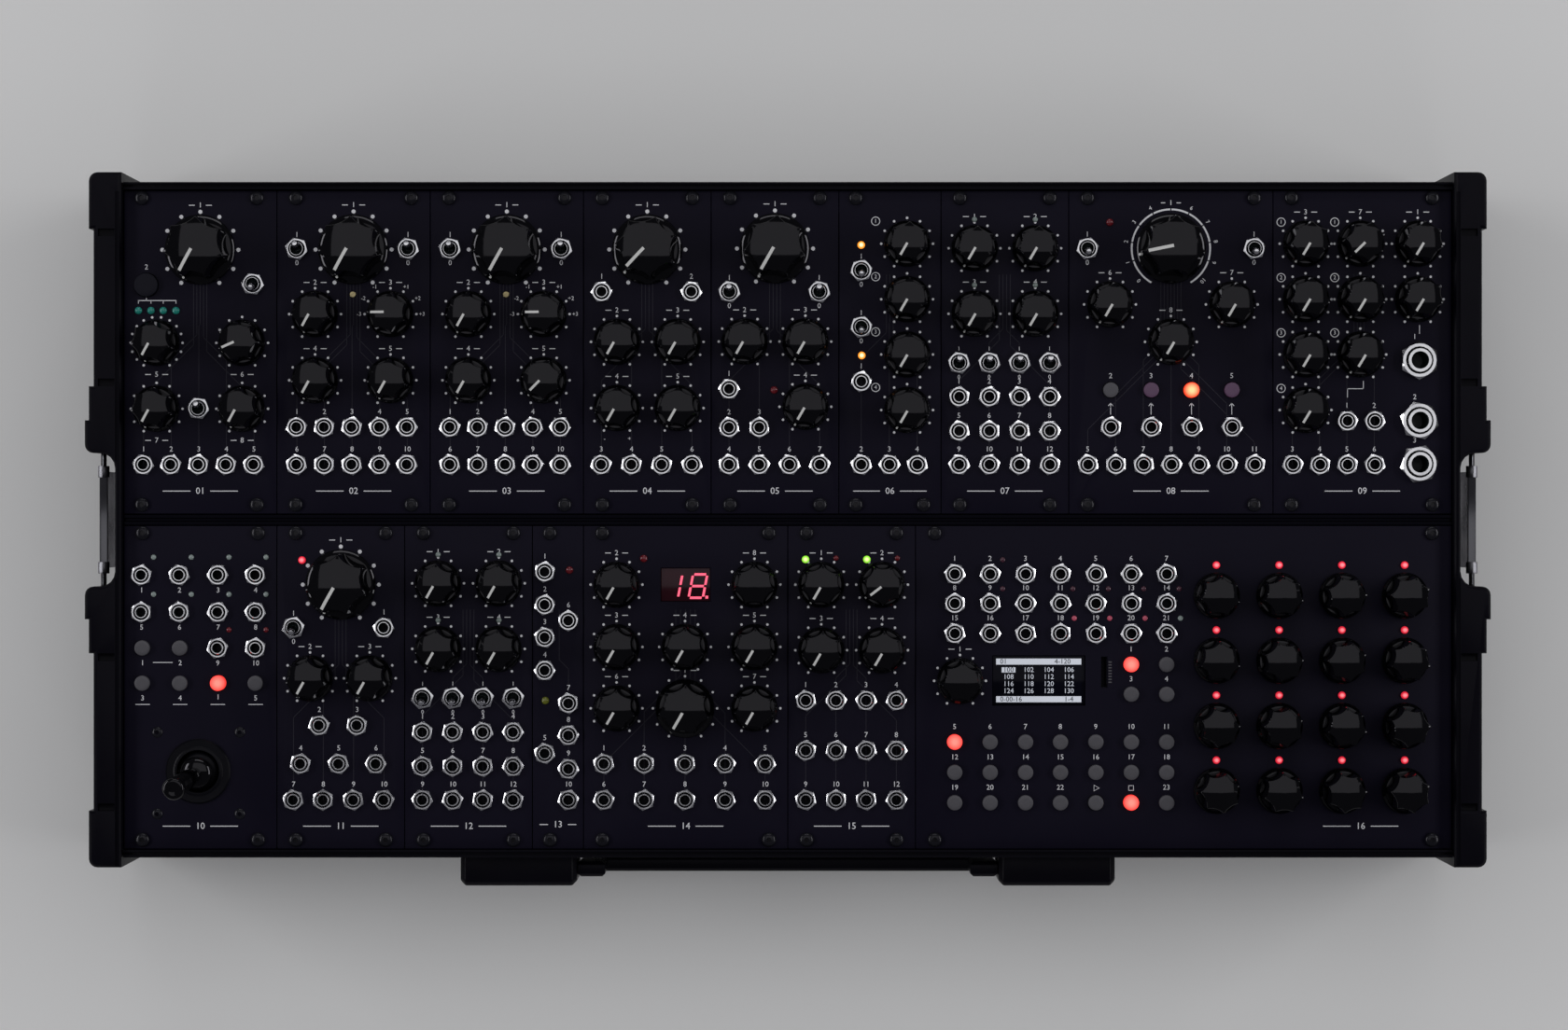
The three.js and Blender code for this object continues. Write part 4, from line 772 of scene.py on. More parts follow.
MODULES = {
    "wavetable": {
        "knobs": [(0.215, 0.529, LOWEST), (0.773, 0.529, -113), (0.215, 0.325, LOWEST),
                  (0.773, 0.325, LOWEST)],
        "dot_counts": {0: 16},
        "label_side": -1,
        "sockets": grid(FIVE, FOOT),
        "collars": [(0.843, 0.711), (0.488, 0.326)],
        "lamps": [(x, 0.629, "teal") for x in LAMP_COLUMNS],
        "screws": grid((0.118, 0.869), SCREW_ROWS),
        "moving": ["frequency_knob", "bank_button", "coarse_toggle", "sub_toggle"],
    },
    "oscillator_a": {**oscillator(LOWEST), "moving": ["tune_knob_a"]},
    "oscillator_b": {**oscillator(-135), "moving": ["tune_knob_b"]},
    "filter": {
        "knobs": [(x, y, LOWEST) for x, y in grid(PAIR, (0.532, 0.327))],
        "sockets": [(0.143, 0.687), (0.845, 0.687)] + grid(FOUR, FOOT),
        "signs": [(0.165, 0.232, "-"), (0.36, 0.232, "+")],
        "moving": ["cutoff_knob"],
    },
    "gate": {
        "knobs": [(0.262, 0.533, LOWEST), (0.738, 0.533, LOWEST), (0.738, 0.331, LOWEST)],
        "toggles": [(0.142, 0.687, 1), (0.846, 0.687, 1)],
        "sockets": [(0.14, 0.386), (0.14, 0.267), (0.377, 0.267)] + grid(FOUR, FOOT),
        "lamps": [(0.493, 0.383, "red_off")],
        "moving": ["offset_knob"],
    },
    "envelope": {
        "toggles": [(0.219, 0.753, -1), (0.219, 0.578, -1)],
        "sockets": [(0.219, 0.409)] + grid((0.219, 0.494, 0.766), FOOT),
        "lamps": [(0.219, 0.832, "amber"), (0.224, 0.49, "amber")],
        "screws": [(0.166, 0.978), (0.166, 0.028), (0.83, 0.028)],
        "circled": [(0.36, y + 0.07, str(i + 1)) for i, y in enumerate(ROWS_OF_KNOBS)],
        "unlabelled": ["attack_knob", "decay_knob", "sustain_knob", "release_knob"],
        "moving": ["attack_knob", "decay_knob", "sustain_knob", "release_knob"],
    },
    "amplifier_upper": {**quad_amplifier(1), "moving": ["level_knob_upper"]},
    "delay": {
        "knobs": [(0.202, 0.648, LOWEST), (0.798, 0.648, LOWEST), (0.5, 0.532, LOWEST)],
        "toggles": [(0.091, 0.821, -1), (0.907, 0.821, -1)],
        "sockets": grid(DELAY_COLUMNS, (0.268,))
        + grid((0.093, 0.229, 0.365, 0.501, 0.637, 0.773, 0.909), FOOT),
        "lamps": [(0.201, 0.902, "red_off")],
        "arrows": [(x, 0.326) for x in DELAY_COLUMNS],
        "bare_sockets": 4,
        "moving": ["time_knob", "hold_button", "add_button", "reverse_button", "tap_button"],
    },
    "output": {
        "knobs": [(0.182, y, LOWEST) for y in ROWS_OF_KNOBS]
        + [(0.488, y, dial) for y, dial in zip(ROWS_OF_KNOBS, (-135, LOWEST, LOWEST))],
        "sockets": [(0.413, 0.287), (0.566, 0.287)] + grid((0.108, 0.26, 0.413, 0.566), FOOT),
        "big_sockets": [(0.815, 0.475), (0.815, 0.288), (0.815, 0.154)],
        "screws": grid((0.103, 0.891), SCREW_ROWS),
        "circled": [(0.045, y + 0.067, str(i + 1)) for i, y in enumerate(ROWS_OF_KNOBS)]
        + [(0.345, y + 0.067, str(i + 1)) for i, y in enumerate(ROWS_OF_KNOBS[:3])],
        "unlabelled": [1, 2, 3, 5, 6, "phones_knob"],
        "strokes": [[(0.505, 0.41), (0.505, 0.387), (0.416, 0.387), (0.416, 0.361)],
                    [(0.819, 0.583), (0.819, 0.558)]],
        "moving": ["master_knob", "phones_knob"],
    },
    "joystick": {
        "sockets": grid((0.117, 0.364, 0.616, 0.861), (0.848, 0.733)) + grid((0.614, 0.861), (0.622,)),
        "buttons": [(x, y, "grey") for x, y in grid(JOYSTICK_COLUMNS[:2], (0.622, 0.513))]
        + [(0.861, 0.513, "grey")],
        "tiny": [(x, y, "clear") for x, y in grid((0.195, 0.441, 0.687, 0.929), (0.903, 0.788))]
        + [(0.687, 0.678, "red_off"), (0.929, 0.678, "red_off")],
        "small_screws": grid((0.219, 0.757), (0.361, 0.108)),
        "strokes": [[(x - 0.045, 0.447), (x + 0.045, 0.447)] for x in JOYSTICK_COLUMNS]
        + [[(0.193, 0.577), (0.317, 0.577)]],
        "number_side": -1,
        "moving": ["channel_button"],
    },
    "modulator": {
        "knobs": [(0.259, 0.528, LOWEST), (0.727, 0.528, LOWEST)],
        "toggles": [(0.13, 0.685, -1)],
        "sockets": [(0.838, 0.685), (0.332, 0.383), (0.628, 0.383)] + grid((0.186, 0.484, 0.776), (0.264,))
        + grid((0.13, 0.363, 0.6, 0.838), FOOT),
        "lamps": [(0.196, 0.894, "red")],
        "moving": ["rate_knob"],
    },
    "amplifier_lower": {**quad_amplifier(-1), "moving": ["level_knob_lower"]},
    "mixer": {
        "sockets": [(0.245, y) for y in (0.858, 0.756, 0.655, 0.553, 0.296)]
        + [(0.707, y) for y in (0.707, 0.451, 0.352, 0.248, 0.152)],
        "lamps": [(0.727, 0.863, "red_off"), (0.253, 0.459, "olive")],
        "screws": grid((0.344,), SCREW_ROWS),
        "title": (0.5, 0.075),
        "moving": [],
    },
    "effects": {
        "knobs": [(x, y, LOWEST) for x, y in grid(EFFECT_COLUMNS[:1], (0.818,))
                  + grid(EFFECT_COLUMNS, (0.625,)) + grid(EFFECT_COLUMNS[::2], (0.435,))],
        "plain_knobs": [(0.837, 0.818)],
        "plain_label": "8",
        "sockets": grid((0.1, 0.297, 0.497, 0.693, 0.889), (0.264, 0.152)),
        "lamps": [(0.295, 0.899, "red_off")],
        "digits": (0.5, 0.818),
        "moving": ["blend_knob"],
    },
    "voltage_tools": {
        "knobs": [(0.738, 0.818, -128), (0.262, 0.615, LOWEST), (0.738, 0.615, LOWEST)],
        "sockets": grid(FOUR, (0.46, 0.305, 0.152)),
        "lamps": [(0.139, 0.896, "green"), (0.619, 0.896, "green")],
        "tiny": [(0.378, 0.9, "red_off"), (0.858, 0.9, "red_off")],
        "moving": ["scale_knob"],
    },
    "sequencer": {
        "plain_knobs": grid(STEPS_ACROSS[1:], STEPS_UP[:1]) + grid(STEPS_ACROSS, STEPS_UP[1:]),
        "sockets": grid(COLUMNS, (0.851, 0.76, 0.667)),
        "buttons": [(0.402, 0.571, "lit"), (0.468, 0.571, "grey")]
        + [(0.402, 0.479, "grey"), (0.468, 0.479, "grey")]
        + [(0.073, 0.331, "lit")] + [(x, 0.331, "grey") for x in COLUMNS[1:]]
        + [(x, 0.237, "grey") for x in COLUMNS]
        + [(x, 0.143, "grey") for x in COLUMNS[:4] + COLUMNS[6:]],
        "lamps": [(x, y + 0.0945, "red") for x, y in grid(STEPS_ACROSS, STEPS_UP)],
        "tiny": [(x + 0.0235, 0.805, "dark") for x in COLUMNS[1:2] + COLUMNS[3:]]
        + [(x + 0.026, 0.714, colour) for x, colour in zip(COLUMNS[3:], ("pink", "pink", "pink", "clear"))]
        + [(COLUMNS[1] + 0.0235, 0.895, "dark")],
        "screen": (0.23, 0.521),
        "card_slot": (0.352, 0.547),
        "title": (0.83, 0.07),
        "screws": grid((0.036, 0.963), SCREW_ROWS),
        "moving": ["data_knob", "step_knob", "play_button", "stop_button"],
    },
}
print("modules:", len(MODULES), "sockets:", sum(len(m.get("sockets", [])) for m in MODULES.values()))

# %% [markdown]
# A module's node gives its corner and its width. A panel is two millimetres of painted aluminium,
# so the plate is one block with eased edges, and a hole is cut under each socket and switch, under each
# button that moves and for each moving knob's shaft.

# %% A module's panel and what is behind it
PANEL_THICKNESS = 2 * mm
PANEL_PLAY = 0.3 * mm
PARTS_DEPTH = 10 * mm
CIRCUIT_THICKNESS = 1.6 * mm
CIRCUIT_MARGIN = 10.1 * mm
JACK_BODY = 9 * mm
JACK_HEIGHT = PARTS_DEPTH - 2.5 * mm
SWITCH_HOLE = 3.0 * mm
BIG_SOCKET_HOLE = 5.4 * mm
SHAFT_HOLE = 3.3 * mm
JOYSTICK_HOLE = 10 * mm
BUTTON_PLAY = 0.3 * mm
WINDOWS = {"digits": (19.9 * mm, 13.5 * mm), "screen": (37 * mm, 20 * mm),
           "card_slot": (2.6 * mm, 12.4 * mm)}


class Spot:
    def __init__(self, name):
        low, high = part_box(name + "_module")
        self.name = name
        self.left = low.x - PANEL_PLAY / 2
        self.width = high.x - low.x + PANEL_PLAY
        self.low = low
        self.high = high

    def at(self, x_share, y_share):
        return self.left + x_share * self.width, self.low.y + y_share * (self.high.y - self.low.y)


def middle_of(name):
    low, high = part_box(name)
    return (low.x + high.x) / 2, (low.y + high.y) / 2


def hole_list(spot, plan):
    holes = [(spot.at(x, y), SWITCH_HOLE) for x, y in plan.get("sockets", [])]
    holes += [(spot.at(x, y), BIG_SOCKET_HOLE) for x, y in plan.get("big_sockets", [])]
    holes += [(spot.at(x, y), SWITCH_HOLE) for x, y, _ in plan.get("toggles", [])]
    holes += [(spot.at(x, y), SWITCH_HOLE) for x, y in plan.get("collars", [])]
    for name in plan["moving"]:
        low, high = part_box(name)
        if name.endswith("button"):
            holes.append((middle_of(name), (high.x - low.x) / 2 + BUTTON_PLAY))
        if "knob" in name:
            holes.append((middle_of(name), SHAFT_HOLE))
    return holes


def panel_plate(spot, plan):
    size = (spot.high.x - spot.low.x, spot.high.y - spot.low.y, PANEL_THICKNESS)
    plate = block(size, ((spot.low.x + spot.high.x) / 2, (spot.low.y + spot.high.y) / 2,
                         panel_top - PANEL_THICKNESS / 2))
    rounded(plate, 0.25 * mm, 2)
    cutters = []
    for (x, y), radius in hole_list(spot, plan):
        cutter = prism(radius, -5 * mm, 2 * mm, 20)
        cutter.data.transform(placed(x, y, panel_top))
        cutters.append(cutter)
    for key, (width, height) in WINDOWS.items():
        if key in plan:
            x, y = spot.at(*plan[key])
            cutters.append(block((width, height, 6 * mm), (x, y, panel_top)))
    if spot.name == "joystick":
        cutter = prism(JOYSTICK_HOLE, -5 * mm, 3 * mm, 32)
        cutter.data.transform(placed(*middle_of("joystick_gimbal"), panel_top))
        cutters.append(cutter)
    cut(plate, gathered("holes", cutters))
    return dressed(cleaned(plate), panel_paint)


def circuit_behind(spot, plan):
    top = panel_top - PANEL_THICKNESS - PARTS_DEPTH
    middle_y = (spot.low.y + spot.high.y) / 2
    board = block((spot.width - 2.4 * mm, spot.high.y - spot.low.y - 2 * CIRCUIT_MARGIN, CIRCUIT_THICKNESS),
                  (spot.left + spot.width / 2, middle_y, top - CIRCUIT_THICKNESS / 2))
    rounded(board, 0.2 * mm, 1)
    parts = [dressed(board, board_green)]
    for x_share, y_share in plan.get("sockets", []):
        x, y = spot.at(x_share, y_share)
        body = block((JACK_BODY, JACK_BODY, JACK_HEIGHT), (x, y, top + JACK_HEIGHT / 2))
        parts.append(dressed(body, button_black))
    return gathered(spot.name + "_circuit", parts)


for name, plan in MODULES.items():
    spot = Spot(name)
    plate = panel_plate(spot, plan)
    plate.name = name + "_panel"
    riding(plate, "case", "panel_paint", name + "_module")
    riding(circuit_behind(spot, plan), "case", "circuit_board")
print("panels made:", len(MODULES))

# %% [markdown]
# Now the hardware: each module gets its nuts and bushes, its fixed knobs, its levers, its caps,
# lamps and screws. Nuts are tightened by hand, so each hexagon stops at its own angle.

# %% Fixed controls of each module
NUT_TURNS = [0, 17, 41, 8, 29, 52, 35, 12, 48, 23]
CORNER_SCREWS = 7.5 * mm


def screw_places(spot, plan):
    edge = CORNER_SCREWS / spot.width
    corners = grid((edge, 1 - edge), SCREW_ROWS)
    return plan.get("screws", corners)


def hardware(spot, plan):
    pieces = []
    for i, (x, y) in enumerate(plan.get("sockets", [])):
        turn = NUT_TURNS[(3 * i + len(spot.name)) % len(NUT_TURNS)] * degree
        pieces.append(copied(small_socket, placed(*spot.at(x, y), panel_top, turn)))
    for i, (x, y) in enumerate(plan.get("big_sockets", [])):
        pieces.append(copied(large_socket, placed(*spot.at(x, y), panel_top, NUT_TURNS[i] * degree)))
    for x, y, lean in plan.get("toggles", []):
        pieces.append(copied(toggle_pattern, placed(*spot.at(x, y), panel_top, 0.3 * lean)))
        lever_place = placed(*spot.at(x, y), panel_top + TOGGLE_PIVOT, tilt=-lean * TOGGLE_LEAN)
        pieces.append(copied(lever_pattern, lever_place))
    for x, y in plan.get("collars", []):
        pieces.append(copied(toggle_pattern, placed(*spot.at(x, y), panel_top, 0.4)))
    return pieces


def fixed_knobs(spot, plan):
    lift = panel_top + KNOB_LIFT
    pieces = [copied(small_knob, placed(*spot.at(x, y), lift, -dial * degree))
              for x, y, dial in plan.get("knobs", [])]
    pieces += [copied(plain_knob, placed(*spot.at(x, y), lift, 0.3 * i))
               for i, (x, y) in enumerate(plan.get("plain_knobs", []))]
    return pieces


def lights_and_caps(spot, plan):
    pieces = []
    for key, pattern, table in (("lamps", lamp_pattern, LAMPS), ("tiny", tiny_lamp_pattern, LAMPS),
                                ("buttons", cap_pattern, CAPS)):
        for x, y, colour in plan.get(key, []):
            pieces.append(dressed(copied(pattern, placed(*spot.at(x, y), panel_top)), table[colour]))
    return pieces


def screws(spot, plan):
    pieces = [copied(screw_pattern, placed(*spot.at(x, y), panel_top, 0.5 * i))
              for i, (x, y) in enumerate(screw_places(spot, plan))]
    if "trimmer" in plan:
        pieces.append(copied(trimmer_pattern, placed(*spot.at(*plan["trimmer"]), panel_top, 0.6)))
    for i, (x, y) in enumerate(plan.get("small_screws", [])):
        sunk = placed(*spot.at(x, y), panel_top - 0.5 * mm, 0.7 * i) @ Matrix.Scale(0.8, 4)
        pieces.append(copied(screw_pattern, sunk))
    return pieces


for name, plan in MODULES.items():
    spot = Spot(name)
    for suffix, slot, pieces in (("_sockets", "bright_nickel", hardware(spot, plan)),
                                 ("_knobs", "knob_gloss", fixed_knobs(spot, plan)),
                                 ("_lamps", "button_cap", lights_and_caps(spot, plan)),
                                 ("_screws", "dark_metal", screws(spot, plan))):
        if pieces:
            riding(gathered(name + suffix, pieces), "case", slot)

# %% [markdown]
# The controls that move are copies of the same patterns, set where their nodes are. A knob's node
# is turned to its rest angle, and the table below repeats those angles for the white pointer.

# %% Moving controls
REST_DIALS = {"cutoff_knob": -136, "time_knob": -101}
CAP_COLOURS = {"hold_button": button_grey, "add_button": button_mauve, "reverse_button": button_hot,
               "tap_button": button_mauve, "channel_button": button_lit, "play_button": button_grey,
               "stop_button": button_lit, "bank_button": button_black}
LARGE_KNOBS = ("frequency_knob", "tune_knob_a", "tune_knob_b", "cutoff_knob", "offset_knob", "time_knob",
               "rate_knob")
LEVER_LEANS = {"coarse_toggle": -1, "sub_toggle": 1}
LEVER_PLACES = dict(zip(LEVER_LEANS, MODULES["wavetable"]["collars"]))


def knob_pattern_for(name):
    if name in LARGE_KNOBS:
        return large_knob
    if name in ("data_knob", "step_knob"):
        return plain_knob
    return middle_knob if name == "blend_knob" else small_knob


def moving_piece(spot, name):
    if "knob" in name:
        turn = -REST_DIALS.get(name, LOWEST) * degree
        piece = copied(knob_pattern_for(name), placed(*middle_of(name), panel_top + KNOB_LIFT, turn))
        return piece, "knob_gloss"
    if name.endswith("button"):
        pattern = bank_cap_pattern if name == "bank_button" else cap_pattern
        piece = copied(pattern, placed(*middle_of(name), panel_top))
        return dressed(piece, CAP_COLOURS[name]), "button_cap"
    tilt = -LEVER_LEANS[name] * TOGGLE_LEAN
    place = placed(*spot.at(*LEVER_PLACES[name]), panel_top + TOGGLE_PIVOT, tilt=tilt)
    return copied(lever_pattern, place), "bright_nickel"


for module, plan in MODULES.items():
    for name in plan["moving"]:
        piece, slot = moving_piece(Spot(module), name)
        piece.name = name + "_piece"
        riding(piece, name, slot, name)
print("moving controls:", sum(len(plan["moving"]) for plan in MODULES.values()))

# %% [markdown]
# The joystick has a flat bezel with a raised ring, a collar that tilts one way and a stick with a
# domed cover that tilts the other way. All are turned, and pins join them. At rest the stick leans
# a little to the front and to the left, so both pieces are turned by those two angles.

# %% The joystick
gimbal_low, gimbal_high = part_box("joystick_gimbal")
pivot = (gimbal_low + gimbal_high) / 2
STICK_HEIGHT = 41 * mm
LEAN_FRONT = 6 * degree
LEAN_LEFT = 5 * degree
collar_place = Matrix.Translation(pivot) @ Matrix.Rotation(LEAN_FRONT, 4, "X")
stick_place = collar_place @ Matrix.Rotation(-LEAN_LEFT, 4, "Y")


def joystick_bezel():
    ring = turned(in_mm((8.85, -9.2), (8.85, 0.02), (12.9, 0.02), (12.9, 0.6), (12.3, 1.2), (9.9, 1.1),
                        (9.3, 1.5), (8.7, 1.5)), 64)
    cup = turned(in_mm((10.2, -11.6), (10.2, -2.1), (8.9, -2.1), (8.9, -10.2)), 40)
    cut(ring, prism(8.5 * mm, -10 * mm, 2 * mm, 64))
    whole = gathered("joystick_bezel", [ring, cup])
    whole.data.transform(placed(pivot.x, pivot.y, panel_top))
    return dressed(whole, bezel_black)


def pins(along, reach):
    pin = prism(0.85 * mm, -reach, reach, 14)
    turn = Matrix.Rotation(math.pi / 2, 4, "Y" if along == "x" else "X")
    pin.data.transform(turn)
    return cleaned(pin)


def joystick_collar():
    collar = turned(in_mm((7.4, -2), (8, -1.2), (8.05, 0.2), (7.6, 1.2), (6.6, 1.8), (5.4, 2), (5.2, 1.6),
                          (5.2, -1.8)), 48)
    cut(collar, prism(5.2 * mm, -4 * mm, -1.5 * mm, 48))
    whole = gathered("joystick_gimbal_piece", [collar, pins("x", 8.6 * mm)])
    whole.data.transform(collar_place)
    return dressed(whole, bezel_black)


def joystick_handle():
    ball = [(3.4 * mm * math.sin(turn * degree) + 0.1 * mm, -3.5 * mm * math.cos(turn * degree))
            for turn in (5, 35, 65, 90, 115, 135)]
    cover = in_mm((2.3, 3.6), (2.3, 4.9), (6.2, 4.95), (6.5, 5.15), (6.35, 5.6), (5.8, 6.3), (4.9, 6.95),
                  (3.7, 7.5), (2.5, 7.8))
    neck = in_mm((3, 9), (3.5, 14), (3.9, 28))
    crown = in_mm((4.3, 3.2), (4.5, 1.6), (4.25, 0.7), (3.6, 0.15), (2.8, 0), (1.9, 0.35), (0.6, 0.45))
    top = [(radius, STICK_HEIGHT - below) for radius, below in crown]
    shaft = turned(ball + cover + neck + top, 40)
    whole = gathered("joystick_stick_piece", [shaft, pins("y", 5.9 * mm)])
    whole.data.transform(stick_place)
    return dressed(whole, knob_gloss)


riding(joystick_bezel(), "case", "moulded_black")
riding(joystick_collar(), "joystick_gimbal", "moulded_black", "joystick_gimbal")
riding(joystick_handle(), "joystick_stick", "moulded_black", "joystick_stick")
print("joystick pivot:", [round(v / mm, 1) for v in pivot])

# %% [markdown]
# Print comes next. Eleven dots stand thirty degrees apart round a knob, with a gap at the bottom,
# and a plain number takes the place of each word. Everything printed on one panel is one piece.

# %% Print on each panel
LABEL_HEIGHT = 2.05 * mm
SMALL_LABEL = 1.6 * mm
TITLE_HEIGHT = 2.6 * mm
STROKE = 0.28 * mm
ARROW_STROKE = 0.26 * mm
TRACE_WIDTH = 0.22 * mm
DIAL_SWEEP = 300
DIAL_DOTS = 11
print_level = panel_top + PRINT_LIFT


def around(centre, radius, dial):
    angle = math.pi / 2 - dial * degree
    return centre[0] + radius * math.cos(angle), centre[1] + radius * math.sin(angle)


def dots_round(centre, radius, dot, count=DIAL_DOTS):
    dials = [DIAL_SWEEP * i / (count - 1) - DIAL_SWEEP / 2 for i in range(count)]
    return [copied(dot, placed(*around(centre, radius, dial), print_level)) for dial in dials]


def number(text, centre, height=LABEL_HEIGHT):
    return copied(number_pattern(text, height), placed(*centre, print_level))


def rule(centre, width, height=0.34 * mm):
    bar = block((width, height, PRINT_DEPTH), (*centre, print_level))
    rounded(bar, 0.08 * mm, 1)
    return dressed(bar, legend_white)


def ruled_number(text, centre, reach, height=LABEL_HEIGHT):
    gap = 1.1 * mm + 0.55 * height * len(text)
    length = reach - gap
    return [number(text, centre, height),
            rule((centre[0] - gap - length / 2, centre[1]), length),
            rule((centre[0] + gap + length / 2, centre[1]), length)]


def straight_line(start, end, width, material):
    run = Vector(end) - Vector(start)
    bar = block((run.length + width, width, 0.6 * PRINT_DEPTH), (0, 0, 0))
    middle = (Vector(start) + Vector(end)) / 2
    bar.data.transform(placed(middle.x, middle.y, print_level - 0.02 * mm, math.atan2(run.y, run.x)))
    return dressed(bar, material)


def strokes(corners, width, material):
    return [straight_line(start, end, width, material) for start, end in zip(corners, corners[1:])]


def arrow(centre):
    x, y = centre
    tip = (x, y + 2.1 * mm)
    stem = strokes([tip, (x, y - 2.3 * mm)], ARROW_STROKE, legend_white)
    barbs = [(x - 0.85 * mm, y + 1.1 * mm), tip, (x + 0.85 * mm, y + 1.1 * mm)]
    return stem + strokes(barbs, ARROW_STROKE, legend_white)


SIGN_SIDES = {"play_button": 3, "stop_button": 4}


def outline_sign(name, centre):
    sides = SIGN_SIDES[name]
    sign = ring_pattern(1.35 * mm, 0.3 * mm, sides)
    turn = -math.pi / 2 if sides == 3 else math.pi / 4
    sign.data.transform(placed(*centre, print_level, turn))
    return sign


def bracket_over_lamps(spot):
    left, level = spot.at(LAMP_COLUMNS[0], 0.66)
    right = spot.at(LAMP_COLUMNS[-1], 0.66)[0]
    pieces = [rule(((left + right) / 2, level), right - left + 0.3 * mm)]
    pieces.append(rule((spot.at(0.148, 0)[0], level + 0.5 * mm), STROKE, 1.1 * mm))
    for share in LAMP_COLUMNS:
        pieces.append(rule((spot.at(share, 0)[0], level - 0.6 * mm), STROKE, 1.2 * mm))
    return pieces


def knob_print(centre, text, radius, count=DIAL_DOTS, side=1):
    is_large = radius == LARGE_RADIUS
    dot_radius = radius + (1.2 * mm if is_large else 1.1 * mm)
    label_reach = radius + (3.8 * mm if is_large else 3.4 * mm)
    pieces = dots_round(centre, dot_radius, large_dot if is_large else small_dot, count)
    if text:
        pieces += ruled_number(text, (centre[0], centre[1] + side * label_reach), 4.6 * mm)
    return pieces


SCALE_STEP = 27


def time_scale(centre):
    radius = 15.6 * mm
    arc = prism(radius + 0.35 * mm, -PRINT_DEPTH / 2, PRINT_DEPTH / 2, 96)
    hollow = prism(radius - 0.35 * mm, -mm, mm, 96)
    wedge = prism(2.4 * radius, -mm, mm, 3)
    wedge.data.transform(Matrix.Translation((0, -2.4 * radius, 0)))
    cut(arc, hollow, wedge)
    for i in range(1, 10):
        gap = block((0.5 * mm, 3 * mm, 2 * mm), (0, radius, 0))
        gap.data.transform(Matrix.Rotation((i - 5) * SCALE_STEP * degree, 4, "Z"))
        cut(arc, gap)
    arc.data.transform(placed(*centre, print_level))
    pieces = [dressed(cleaned(arc), legend_white)]
    for i in (*range(5), *range(6, 11)):
        dial = (i - 5) * SCALE_STEP
        place = placed(*around(centre, radius + 2.4 * mm, dial), print_level, -dial * degree)
        pieces.append(copied(number_pattern(str(i), SMALL_LABEL), place))
    return pieces


def step_numbers(centre):
    out = SMALL_RADIUS + 3.3 * mm
    return [number(f"{step:+d}", around(centre, out, 30 * step), SMALL_LABEL)
            for step in (-3, -2, -1, 1, 2, 3)]


# %% [markdown]
# A faint line links the uppermost knob with each socket of the lowest row, as on a wiring chart.
# It goes down, slants at forty-five degrees to the socket's own column, and goes down again.

# %% Faint lines
def faint_lines(spot, plan):
    lowest = [share for share in plan["sockets"] if share[1] == FOOT[0]]
    pieces = []
    for i, share in enumerate(lowest):
        foot = spot.at(*share)
        head_x = spot.left + spot.width * (0.5 + 0.12 * (share[0] - 0.5))
        slant = abs(head_x - foot[0])
        bend = spot.at(0, 0.6)[1] - 0.5 * slant - 0.8 * mm * i
        corners = [(head_x, spot.at(0, 0.74)[1]), (head_x, bend), (foot[0], bend - slant), foot]
        pieces += strokes(corners, TRACE_WIDTH, trace_grey)
    return pieces


print("faint lines:", round(TRACE_WIDTH / mm, 2), "mm wide")

# %% [markdown]
# The numbers on one panel count its knobs, the moving ones first. A moving button takes part in that
# count. The table of modules says which controls have no number.

# %% Numbers by the knobs
MOVING_LABEL_RISE = 5.6 * mm
BANK_LABEL_RISE = 7.1 * mm
SIGN_RISE = 5.8 * mm


def moving_knob_print(name, text):
    centre = middle_of(name)
    if name == "time_knob":
        return time_scale(centre) + ruled_number(text, (centre[0], centre[1] + 18.2 * mm), 4 * mm)
    if name == "step_knob":
        return []
    if name == "blend_knob":
        return knob_print(centre, text, MIDDLE_RADIUS)
    return knob_print(centre, text, LARGE_RADIUS if name in LARGE_KNOBS else SMALL_RADIUS)


def moving_print(plan):
    pieces = []
    for count, name in enumerate(plan["moving"], 1):
        x, y = middle_of(name)
        if "knob" in name:
            pieces += moving_knob_print(name, "" if name in plan.get("unlabelled", []) else str(count))
        if name in SIGN_SIDES:
            pieces.append(outline_sign(name, (x, y + SIGN_RISE)))
        elif name.endswith("button"):
            rise = BANK_LABEL_RISE if name == "bank_button" else MOVING_LABEL_RISE
            pieces.append(number(str(count), (x, y + plan.get("number_side", 1) * rise)))
    return pieces


def fixed_knob_print(spot, plan):
    pieces = []
    for i, (x, y, _) in enumerate(plan.get("knobs", [])):
        text = "" if i in plan.get("unlabelled", []) else str(len(plan["moving"]) + i + 1)
        dots = plan.get("dot_counts", {}).get(i, DIAL_DOTS)
        pieces += knob_print(spot.at(x, y), text, SMALL_RADIUS, dots, plan.get("label_side", 1))
    if "plain_label" in plan:
        pieces += knob_print(spot.at(*plan["plain_knobs"][0]), plan["plain_label"], SMALL_RADIUS)
    return pieces


print("dots round a knob:", DIAL_DOTS)

# %% [markdown]
# Sockets and fixed buttons are counted by themselves, and a fixed switch has a 1 above and a 0 below.

# %% Numbers by switches and sockets
TOGGLE_LABEL_RISE = 5.6 * mm
SOCKET_LABEL_RISE = 6.1 * mm
BUTTON_LABEL_RISE = 6 * mm


def number_by(text, place, rise, height=LABEL_HEIGHT, aside=0.0):
    return number(text, (place[0] + aside, place[1] + rise), height)


